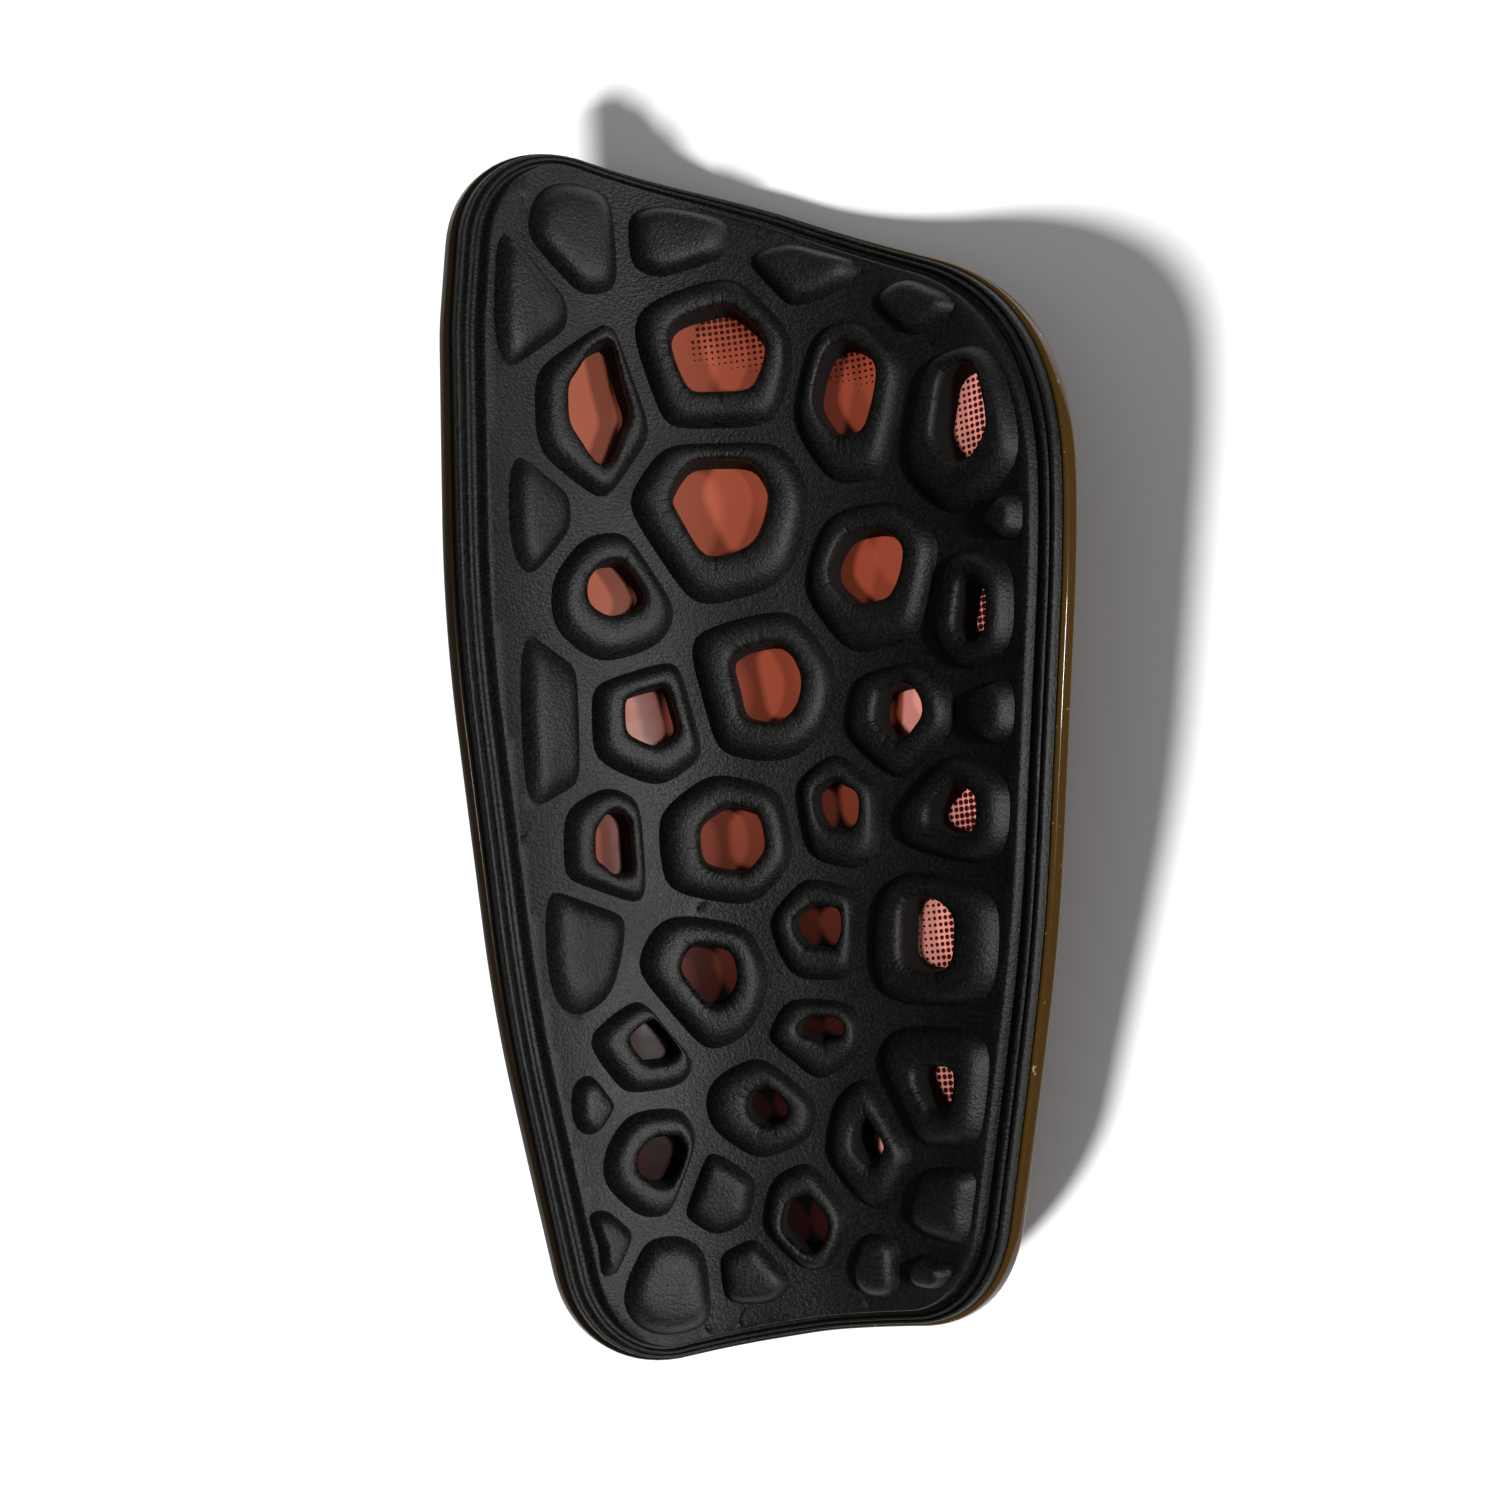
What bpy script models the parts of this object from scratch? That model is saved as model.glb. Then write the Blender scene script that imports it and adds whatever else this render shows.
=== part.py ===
"""Slip-in shin guard, lying on its front: a curved amber shell with a moulded foam back.

Frame: +X across the leg, +Y up towards the knee, +Z from the front of the guard to the leg.
Both pieces are drawn flat, as if the guard were unrolled, and then bent into a trough.
In the flat drawing `across` runs round the leg from the spine, `along` runs up the leg,
and `lift` is the height above the outer face of the shell.
"""
import math
from collections import namedtuple

import bpy
from mathutils import Vector
from mathutils.geometry import delaunay_2d_cdt

# Guard
GUARD_LENGTH = 0.181
GUARD_GIRTH = 0.106
KNEE_BEND_RADIUS = 0.057
ANKLE_BEND_RADIUS = 0.041
SPINE_FLAT_WIDTH = 0.006

# Shell
SHELL_WALL = 0.0020
SHELL_EDGE_BREAK = 0.0005

# Foam back
GLUE_LINE = 0.0003
FOAM_MARGIN = 0.0007
FOAM_THICKNESS = 0.0028
RIM_SIDE_WIDTH = 0.0042
RIM_END_WIDTH = 0.0020
PAD_RISE = 0.0028
PAD_CHANNEL = 0.0021
PAD_TO_RIM = 0.0008
MOUTH_SHIFT_ACROSS = 0.0006
MOUTH_SHIFT_ALONG = 0.0009
WINDOW_DRAFT = 0.05

# Fineness of the meshes
EDGE_POINTS = 84
CORNER_STEPS = 12
PAD_POINTS = 16
GRID_ACROSS = 0.0068
GRID_ALONG = 0.0150
GRID_CLEARANCE = 0.0020
# Share of the guard's half sizes that the grid spreads over
GRID_SPREAD = 1.1
SHARP_ANGLE = math.radians(35)

MERGE_DISTANCE = 1e-8
SAME_PLACE = 1e-6
PARALLEL = 1e-12
# Kind of filling: triangles between the edge and the holes
INSIDE_WITH_HOLES = 2

HALF_LENGTH = GUARD_LENGTH / 2
HALF_GIRTH = GUARD_GIRTH / 2
FOAM_BACK_LIFT = SHELL_WALL + GLUE_LINE

# Share of a side that the roundings at its two ends may take up
ROUNDING_SHARE = 0.97
# Corners of the edge, going round clockwise as seen from the leg. Places are shares of the half
# girth and the half length, and the rounding radius is a share of the half length.
Corner = namedtuple("Corner", "across along radius")
EDGE_CORNERS = (
    Corner(-0.907, 1.050, 0.200),
    Corner(-0.047, 0.922, 1.600),
    Corner(1.008, 0.674, 0.530),
    Corner(1.010, 0.268, 2.200),
    Corner(0.913, -0.314, 2.200),
    Corner(0.682, -0.926, 0.225),
    Corner(0.104, -0.958, 1.100),
    Corner(-0.616, -1.027, 0.200),
    Corner(-0.864, -0.420, 2.400),
    Corner(-0.993, 0.192, 2.400),
    Corner(-0.979, 0.678, 0.600),
)

# How fast the rim narrows from a side of the guard to its two ends
RIM_NARROWING = 1.5
# Steps of the foam's rim, from its edge inwards: shares of the rim's width, which is less at the
# two ends of the guard than along its sides, and of the foam's thickness
RimStep = namedtuple("RimStep", "inset height")
RIM_STEPS = (
    RimStep(0.00, 0.29),
    RimStep(0.05, 0.46),
    RimStep(0.20, 0.50),
    RimStep(0.25, 0.36),
    RimStep(0.30, 0.36),
    RimStep(0.35, 0.57),
    RimStep(0.54, 0.61),
    RimStep(0.61, 0.30),
    RimStep(0.88, 0.30),
    RimStep(0.99, 0.90),
    RimStep(1.08, 1.00),
)

# Side of a pad, from its foot inwards: shares of the way to the mouth and of the pad's rise
PadStep = namedtuple("PadStep", "inset height")
RING_STEPS = (
    PadStep(0.00, 0.00),
    PadStep(0.20, 0.78),
    PadStep(0.50, 1.00),
    PadStep(0.82, 0.92),
    PadStep(1.00, 0.60),
)
CLOSED_STEPS = (
    PadStep(0.00, 0.00),
    PadStep(0.18, 0.74),
    PadStep(0.46, 0.96),
)

# Pads, row by row from the knee: centre, half sizes, and the half sizes of the mouth of a ring,
# all shares of the half girth and the half length. A pad without a mouth is closed.
Pad = namedtuple("Pad", "across along half_width half_height mouth_width mouth_height",
                 defaults=(0.0, 0.0))
PADS = (
    Pad(-0.580, 0.835, 0.150, 0.095),
    Pad(-0.250, 0.845, 0.175, 0.060),
    Pad(0.135, 0.775, 0.175, 0.050),
    Pad(0.510, 0.695, 0.135, 0.045),
    Pad(-0.725, 0.725, 0.115, 0.115),
    Pad(-0.530, 0.550, 0.185, 0.160, 0.100, 0.100),
    Pad(-0.150, 0.640, 0.255, 0.135, 0.155, 0.075),
    Pad(0.280, 0.555, 0.185, 0.135, 0.105, 0.075),
    Pad(0.670, 0.480, 0.220, 0.130, 0.105, 0.075),
    Pad(-0.730, 0.375, 0.110, 0.100),
    Pad(-0.145, 0.375, 0.285, 0.145, 0.155, 0.080),
    Pad(-0.480, 0.245, 0.195, 0.110, 0.090, 0.045),
    Pad(0.340, 0.260, 0.230, 0.125, 0.130, 0.060),
    Pad(0.835, 0.330, 0.070, 0.035),
    Pad(0.700, 0.195, 0.155, 0.095, 0.065, 0.050),
    Pad(-0.020, 0.095, 0.240, 0.125, 0.110, 0.065),
    Pad(-0.380, 0.040, 0.200, 0.105, 0.090, 0.050),
    Pad(-0.710, 0.040, 0.120, 0.150),
    Pad(0.420, 0.030, 0.195, 0.095, 0.085, 0.045),
    Pad(0.765, 0.030, 0.090, 0.050),
    Pad(0.215, -0.115, 0.145, 0.095, 0.075, 0.040),
    Pad(0.610, -0.120, 0.225, 0.085, 0.100, 0.040),
    Pad(-0.530, -0.165, 0.135, 0.105, 0.060, 0.055),
    Pad(-0.150, -0.155, 0.220, 0.110, 0.110, 0.055),
    Pad(-0.230, -0.385, 0.215, 0.110, 0.095, 0.050),
    Pad(0.130, -0.305, 0.140, 0.085, 0.085, 0.035),
    Pad(0.525, -0.325, 0.245, 0.110, 0.100, 0.060),
    Pad(-0.615, -0.330, 0.135, 0.105),
    Pad(-0.425, -0.490, 0.170, 0.075, 0.080, 0.035),
    Pad(0.115, -0.480, 0.150, 0.065, 0.080, 0.020),
    Pad(0.515, -0.555, 0.220, 0.100, 0.080, 0.035),
    Pad(-0.610, -0.575, 0.070, 0.045),
    Pad(-0.410, -0.675, 0.160, 0.090, 0.085, 0.040),
    Pad(-0.055, -0.595, 0.175, 0.080, 0.060, 0.030),
    Pad(0.280, -0.650, 0.150, 0.105, 0.055, 0.035),
    Pad(-0.195, -0.730, 0.125, 0.065),
    Pad(0.065, -0.765, 0.125, 0.085, 0.070, 0.045),
    Pad(0.540, -0.735, 0.140, 0.060),
    Pad(-0.565, -0.795, 0.085, 0.050),
    Pad(-0.365, -0.870, 0.145, 0.080),
    Pad(-0.095, -0.855, 0.115, 0.050),
    Pad(0.295, -0.840, 0.080, 0.050),
    Pad(0.490, -0.845, 0.070, 0.025),
)
# How sharply a pad's sides meet, how square its own limits are, and how far it may pass them
SIDE_SHARPNESS = 9
LIMIT_SQUARENESS = 2.4
LIMIT_SLACK = 1.06
# Share of the room on one side that a pad always takes up, however tight the place is
TIGHT_SHARE = 0.5
# Share of a pad's cut corners that its mouth repeats
MOUTH_LIKENESS = 0.9


def bend_radius(along):
    """Radius of the trough, which narrows evenly from the knee end to the ankle end."""
    share = (along + HALF_LENGTH) / GUARD_LENGTH
    return ANKLE_BEND_RADIUS + (KNEE_BEND_RADIUS - ANKLE_BEND_RADIUS) * share


def bent(flat, lift):
    """Point of the bent guard for a point of the flat drawing at a height above the shell."""
    across, along = flat
    half_flat = SPINE_FLAT_WIDTH / 2
    if abs(across) <= half_flat:
        return Vector((across, along, lift))
    radius = bend_radius(along)
    turn = (abs(across) - half_flat) / radius
    side = math.copysign(1.0, across)
    reach = half_flat + (radius - lift) * math.sin(turn)
    return Vector((side * reach, along, radius - (radius - lift) * math.cos(turn)))


def corner_tangents(places, radii):
    """How far each rounding reaches along its two sides, so that two never meet on one side."""
    wanted = []
    for i, corner in enumerate(places):
        back = places[i - 1] - corner
        ahead = places[(i + 1) % len(places)] - corner
        wanted.append(radii[i] / math.tan(back.angle(ahead) / 2))
    shares = []
    for i, corner in enumerate(places):
        side = (places[i - 1] - corner).length
        shares.append(min(1.0, ROUNDING_SHARE * side / (wanted[i - 1] + wanted[i])))
    return [reach * min(shares[i], shares[(i + 1) % len(shares)])
            for i, reach in enumerate(wanted)]


def rounded_edge(corners):
    """Fine closed line round the flat guard, counter-clockwise, with every corner rounded."""
    places = [Vector((c.across * HALF_GIRTH, c.along * HALF_LENGTH)) for c in reversed(corners)]
    radii = [c.radius * HALF_LENGTH for c in reversed(corners)]
    tangents = corner_tangents(places, radii)
    line = []
    for i, corner in enumerate(places):
        back = (places[i - 1] - corner).normalized()
        ahead = (places[(i + 1) % len(places)] - corner).normalized()
        half_angle = back.angle(ahead) / 2
        radius = tangents[i] * math.tan(half_angle)
        centre = corner + (back + ahead).normalized() * radius / math.sin(half_angle)
        start = corner + back * tangents[i] - centre
        end = corner + ahead * tangents[i] - centre
        first = math.atan2(start.y, start.x)
        sweep = math.remainder(math.atan2(end.y, end.x) - first, math.tau)
        for step in range(CORNER_STEPS + 1):
            angle = first + sweep * step / CORNER_STEPS
            line.append(centre + radius * Vector((math.cos(angle), math.sin(angle))))
    return line


def evenly_spaced(line, count):
    """The same closed line with its points at equal steps."""
    lengths = [(line[(i + 1) % len(line)] - point).length for i, point in enumerate(line)]
    step = sum(lengths) / count
    points = []
    travelled = 0.0
    for i, length in enumerate(lengths):
        while len(points) < count and len(points) * step < travelled + length:
            share = (len(points) * step - travelled) / length
            points.append(line[i].lerp(line[(i + 1) % len(line)], share))
        travelled += length
    return points


def inset(loop, distance):
    """A closed counter-clockwise line moved inwards by a distance."""
    moved = []
    for i, point in enumerate(loop):
        heading = (loop[(i + 1) % len(loop)] - loop[i - 1]).normalized()
        moved.append(point + distance * Vector((-heading.y, heading.x)))
    return moved


def rim_line(foam_edge, share):
    """A step of the rim, a share of the rim's width inside the foam's edge."""
    moved = []
    for i, point in enumerate(foam_edge):
        heading = (foam_edge[(i + 1) % len(foam_edge)] - foam_edge[i - 1]).normalized()
        sideways = abs(heading.y) ** RIM_NARROWING
        width = RIM_END_WIDTH + (RIM_SIDE_WIDTH - RIM_END_WIDTH) * sideways
        moved.append(point + share * width * Vector((-heading.y, heading.x)))
    return moved


def inside(point, loop):
    """Whether a point lies inside a closed line."""
    found = False
    for i, end in enumerate(loop):
        start = loop[i - 1]
        if (start.y > point.y) != (end.y > point.y):
            share = (point.y - start.y) / (end.y - start.y)
            if point.x < start.x + share * (end.x - start.x):
                found = not found
    return found


def distance_to_loop(point, heading, loop):
    """How far a closed line is from a point inside it, in one direction."""
    nearest = math.inf
    for i, end in enumerate(loop):
        start = loop[i - 1]
        side = end - start
        turn = heading.x * side.y - heading.y * side.x
        if abs(turn) < PARALLEL:
            continue
        gap = start - point
        reach = (gap.x * side.y - gap.y * side.x) / turn
        share = (gap.x * heading.y - gap.y * heading.x) / turn
        if reach > 0 and 0 <= share <= 1:
            nearest = min(nearest, reach)
    return nearest


def pad_centre(pad):
    """Centre of a pad in the flat drawing."""
    return Vector((pad.across * HALF_GIRTH, pad.along * HALF_LENGTH))


def own_limit(heading, half_width, half_height):
    """Reach of a pad's own soft rectangle in one direction."""
    across = abs(heading.x) / half_width
    along = abs(heading.y) / half_height
    return (across ** LIMIT_SQUARENESS + along ** LIMIT_SQUARENESS) ** (-1 / LIMIT_SQUARENESS)


def clear_reach(room, clearance):
    """Reach that keeps a clearance from what is ahead, or takes a share of a tight room."""
    return max(room - clearance, TIGHT_SHARE * room)


def pad_reach(pad, heading, fence):
    """Reach of a pad from its centre: up to its channels, its own limits and the rim.

    The channels lie where two pads meet, closer to the smaller pad of the two.
    """
    centre = pad_centre(pad)
    size = pad.half_width * HALF_GIRTH * pad.half_height * HALF_LENGTH
    limit = LIMIT_SLACK * own_limit(heading, pad.half_width * HALF_GIRTH,
                                    pad.half_height * HALF_LENGTH)
    rim = clear_reach(distance_to_loop(centre, heading, fence), PAD_TO_RIM)
    crowding = limit ** -SIDE_SHARPNESS + rim ** -SIDE_SHARPNESS
    for other in PADS:
        gap = pad_centre(other) - centre
        if gap.length < SAME_PLACE:
            continue
        facing = heading.dot(gap.normalized())
        if facing <= 0:
            continue
        other_size = other.half_width * HALF_GIRTH * other.half_height * HALF_LENGTH
        meeting = (gap.length_squared + size - other_size) / (2 * gap.length)
        crowding += (facing / clear_reach(meeting, PAD_CHANNEL / 2)) ** SIDE_SHARPNESS
    return crowding ** (-1 / SIDE_SHARPNESS), limit


def pad_lines(pad, fence):
    """Foot and mouth of a pad, as two counter-clockwise lines with matching points.

    A closed pad's mouth is the single point at its centre, repeated.
    """
    centre = pad_centre(pad)
    shift = Vector((MOUTH_SHIFT_ACROSS, MOUTH_SHIFT_ALONG)) if pad.mouth_width else Vector((0, 0))
    foot = []
    mouth = []
    for step in range(PAD_POINTS):
        angle = math.tau * step / PAD_POINTS
        heading = Vector((math.cos(angle), math.sin(angle)))
        reach, limit = pad_reach(pad, heading, fence)
        foot.append(centre + heading * reach)
        opening = 0.0
        if pad.mouth_width:
            opening = LIMIT_SLACK * own_limit(heading, pad.mouth_width * HALF_GIRTH,
                                              pad.mouth_height * HALF_LENGTH)
            opening *= (reach / limit) ** MOUTH_LIKENESS
        mouth.append(centre + shift + heading * opening)
    return foot, mouth


class Skin:
    """Points and triangles of one closed body, gathered loop by loop."""

    def __init__(self):
        self.flats = []
        self.points = []
        self.triangles = []

    def add(self, flat_points, lift):
        """Add points at one height, and give their indices."""
        first = len(self.points)
        self.flats.extend(flat_points)
        self.points.extend(bent(flat, lift) for flat in flat_points)
        return list(range(first, len(self.points)))

    def band(self, outer, inner):
        """Join two loops that have the same number of points."""
        for i in range(len(outer)):
            j = (i + 1) % len(outer)
            self.triangles.append((outer[i], outer[j], inner[j]))
            self.triangles.append((outer[i], inner[j], inner[i]))

    def cap(self, loop, flat_centre, lift):
        """Close a loop with a fan about one point."""
        centre = self.add([flat_centre], lift)[0]
        for i in range(len(loop)):
            self.triangles.append((loop[i], loop[(i + 1) % len(loop)], centre))

    def sheet(self, edge, holes=(), loose=(), lines=(), facing_leg=True):
        """Fill the region between an edge loop and its holes, through loose points."""
        indices = list(edge) + [i for hole in holes for i in hole] + list(loose)
        place = {index: position for position, index in enumerate(indices)}
        loops = [[place[i] for i in loop] for loop in (edge, *holes)]
        sides = [(place[a], place[b]) for a, b in lines]
        flats = [self.flats[i] for i in indices]
        found = delaunay_2d_cdt(flats, sides, loops, INSIDE_WITH_HOLES, MERGE_DISTANCE)
        for face in found[2]:
            corners = [indices[found[3][i][0]] for i in face]
            self.triangles.append(tuple(corners if facing_leg else reversed(corners)))

    def make_object(self, name, material):
        """Turn the skin into an object with one material."""
        mesh = bpy.data.meshes.new(name)
        mesh.from_pydata(self.points, [], self.triangles)
        mesh.materials.append(material)
        mesh.shade_smooth()
        mesh.set_sharp_from_angle(angle=SHARP_ANGLE)
        made = bpy.data.objects.new(name, mesh)
        bpy.context.scene.collection.objects.link(made)
        return made


def grid_points(edge_line, hole_lines):
    """Columns of points across the flat guard, clear of its edge and holes.

    Two columns run along the sides of the flat strip at the spine.
    """
    columns = []
    reach = SPINE_FLAT_WIDTH / 2
    while reach < GRID_SPREAD * HALF_GIRTH:
        columns += [-reach, reach]
        reach += GRID_ACROSS
    rows = int(GRID_SPREAD * GUARD_LENGTH / GRID_ALONG)
    kept = []
    for across in columns:
        for row in range(-rows // 2, rows // 2 + 1):
            point = Vector((across, row * GRID_ALONG))
            clear = inside(point, edge_line) and not any(inside(point, h) for h in hole_lines)
            if clear and all(gap_to_line(point, line) > GRID_CLEARANCE
                             for line in (edge_line, *hole_lines)):
                kept.append(point)
    return kept


def gap_to_line(point, line):
    """Shortest distance from a point to the sides of a closed line."""
    shortest = math.inf
    for i, end in enumerate(line):
        side = end - line[i - 1]
        share = max(0.0, min(1.0, (point - line[i - 1]).dot(side) / side.length_squared))
        shortest = min(shortest, (line[i - 1] + side * share - point).length)
    return shortest


def spine_lines(indices, flats):
    """Pairs of neighbouring grid points along the two sides of the flat strip."""
    pairs = []
    for across in (-SPINE_FLAT_WIDTH / 2, SPINE_FLAT_WIDTH / 2):
        column = [i for i in indices if abs(flats[i].x - across) < SAME_PLACE]
        column.sort(key=lambda i: flats[i].y)
        pairs += list(zip(column, column[1:]))
    return pairs


def finish(name, colour, roughness, transmission=0.0):
    """Plain material of one piece."""
    material = bpy.data.materials.new(name)
    material.use_nodes = True
    shader = material.node_tree.nodes["Principled BSDF"]
    shader.inputs["Base Color"].default_value = (*colour, 1.0)
    shader.inputs["Roughness"].default_value = roughness
    shader.inputs["Metallic"].default_value = 0.0
    shader.inputs["Transmission Weight"].default_value = transmission
    return material


def build_shell(edge_line):
    """Curved plate of one thickness, with its edge broken on both sides."""
    skin = Skin()
    broken = inset(edge_line, SHELL_EDGE_BREAK)
    front = skin.add(broken, 0.0)
    lower = skin.add(edge_line, SHELL_EDGE_BREAK)
    upper = skin.add(edge_line, SHELL_WALL - SHELL_EDGE_BREAK)
    back = skin.add(broken, SHELL_WALL)
    for outer, inner in ((front, lower), (lower, upper), (upper, back)):
        skin.band(outer, inner)
    grid = grid_points(broken, ())
    for loop, lift, facing_leg in ((front, 0.0, False), (back, SHELL_WALL, True)):
        loose = skin.add(grid, lift)
        skin.sheet(loop, loose=loose, lines=spine_lines(loose, skin.flats),
                   facing_leg=facing_leg)
    return skin


def build_foam(edge_line):
    """Foam back: stepped rim, field, ring pads cut through to the shell, and closed pads."""
    skin = Skin()
    foam_edge = inset(edge_line, FOAM_MARGIN)
    back = skin.add(foam_edge, FOAM_BACK_LIFT)
    outer = back
    for step in RIM_STEPS:
        line = rim_line(foam_edge, step.inset)
        inner = skin.add(line, FOAM_BACK_LIFT + step.height * FOAM_THICKNESS)
        skin.band(outer, inner)
        outer = inner
    feet = []
    windows = []
    for pad in PADS:
        foot, mouth = pad_lines(pad, line)
        loops = []
        for step in (RING_STEPS if pad.mouth_width else CLOSED_STEPS):
            points = [a.lerp(b, step.inset) for a, b in zip(foot, mouth)]
            lift = FOAM_BACK_LIFT + FOAM_THICKNESS + step.height * PAD_RISE
            loops.append(skin.add(points, lift))
        for first, second in zip(loops, loops[1:]):
            skin.band(first, second)
        feet.append(loops[0])
        if pad.mouth_width:
            middle = sum(mouth, Vector((0, 0))) / len(mouth)
            window = [point.lerp(middle, WINDOW_DRAFT) for point in mouth]
            windows.append(skin.add(window, FOAM_BACK_LIFT))
            skin.band(loops[-1], windows[-1])
        else:
            skin.cap(loops[-1], pad_centre(pad), FOAM_BACK_LIFT + FOAM_THICKNESS + PAD_RISE)
    skin.sheet(outer, holes=feet)
    window_lines = [[skin.flats[i] for i in window] for window in windows]
    loose = skin.add(grid_points(foam_edge, window_lines), FOAM_BACK_LIFT)
    skin.sheet(back, holes=windows, loose=loose, facing_leg=False)
    return skin


def centre_over_origin(skins):
    """Shift the bent pieces so that the guard's box is centred on the upright axis."""
    for axis in (0, 1):
        values = [point[axis] for skin in skins for point in skin.points]
        middle = (min(values) + max(values)) / 2
        for skin in skins:
            for point in skin.points:
                point[axis] -= middle


def main():
    """Build the shin guard."""
    for old in list(bpy.data.objects):
        bpy.data.objects.remove(old)
    edge_line = evenly_spaced(rounded_edge(EDGE_CORNERS), EDGE_POINTS)
    shell = build_shell(edge_line)
    foam = build_foam(edge_line)
    centre_over_origin((shell, foam))
    shell.make_object("shell", finish("amber_plastic", (0.55, 0.16, 0.06), 0.15, 0.5))
    foam.make_object("foam_back", finish("black_foam", (0.012, 0.012, 0.012), 0.6))


main()
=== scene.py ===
"""Looks of a slip-in shin guard: an amber moulded shell with a black moulded foam back.

The guard lies on its front, with the side that goes against the leg facing up. Both pieces are
drawn flat, as if the guard were unrolled, and then bent into a trough, as in the CAD model.
In the flat drawing `across` runs round the leg from the spine, `along` runs up the leg to the
knee, and `lift` is the height above the outer face of the shell. All lengths are in metres.
"""
import logging
import math
from dataclasses import dataclass
from enum import Enum
from typing import NamedTuple, Sequence

import bpy
from mathutils import Matrix, Vector, noise
from mathutils.geometry import delaunay_2d_cdt


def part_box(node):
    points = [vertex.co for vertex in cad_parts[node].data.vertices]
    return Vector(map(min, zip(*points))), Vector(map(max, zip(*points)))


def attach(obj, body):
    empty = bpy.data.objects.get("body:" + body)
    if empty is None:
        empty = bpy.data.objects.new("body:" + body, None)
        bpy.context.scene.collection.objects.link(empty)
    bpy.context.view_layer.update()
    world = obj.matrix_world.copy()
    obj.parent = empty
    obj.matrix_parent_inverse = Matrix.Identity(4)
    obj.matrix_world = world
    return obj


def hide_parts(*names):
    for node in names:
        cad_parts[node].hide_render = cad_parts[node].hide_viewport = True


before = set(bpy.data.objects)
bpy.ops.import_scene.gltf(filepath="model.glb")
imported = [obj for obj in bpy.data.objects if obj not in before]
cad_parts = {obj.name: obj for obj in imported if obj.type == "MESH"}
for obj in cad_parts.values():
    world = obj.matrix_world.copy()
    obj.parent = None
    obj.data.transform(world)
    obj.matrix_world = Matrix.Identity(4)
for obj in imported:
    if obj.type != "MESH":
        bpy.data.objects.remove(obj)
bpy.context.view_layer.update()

LOG = logging.getLogger("shin_guard")
MILLIMETRE = 0.001
# Kind of filling: triangles between the edge and the holes
INSIDE_WITH_HOLES = 2
MERGE_DISTANCE = 1e-8
SAME_PLACE = 1e-6
PARALLEL = 1e-12
# Edges that turn by more than this stay crisp
SHARP_ANGLE = math.radians(50)


class Corner(NamedTuple):
    """Corner of the edge: shares of the half girth and half length, radius of the half length."""

    across: float
    along: float
    radius: float


class Pad(NamedTuple):
    """Pad of the foam, as shares of the half girth and half length. Closed without a mouth.

    The mouth of a ring may lie to the right of the pad's centre and above it.
    """

    across: float
    along: float
    half_width: float
    half_height: float
    mouth_width: float = 0.0
    mouth_height: float = 0.0
    mouth_right: float = 0.0
    mouth_up: float = 0.0


class Step(NamedTuple):
    """Step of a section: share of the way inwards, and share of the full height."""

    inset: float
    height: float


class Crease(NamedTuple):
    """Crease in the foam: middle in shares, heading in degrees from the leg's length, size in mm.
    """

    across: float
    along: float
    heading: float
    length: float
    depth: float


class Lamp(NamedTuple):
    """Soft box: the way to it from the guard, width and height in metres, power in watts."""

    name: str
    way: tuple[float, float, float]
    size: tuple[float, float]
    power: float
    lights: str
    glints: bool


class Facing(Enum):
    """Which way a sheet of triangles faces."""

    LEG = 1
    FRONT = -1


EDGE_CORNERS = (
    Corner(-0.907, 1.050, 0.200),
    Corner(-0.047, 0.922, 1.600),
    Corner(1.008, 0.674, 0.530),
    Corner(1.010, 0.268, 2.200),
    Corner(0.913, -0.314, 2.200),
    Corner(0.682, -0.926, 0.225),
    Corner(0.104, -0.958, 1.100),
    Corner(-0.616, -1.027, 0.200),
    Corner(-0.864, -0.420, 2.400),
    Corner(-0.993, 0.192, 2.400),
    Corner(-0.979, 0.678, 0.600),
)

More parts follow.
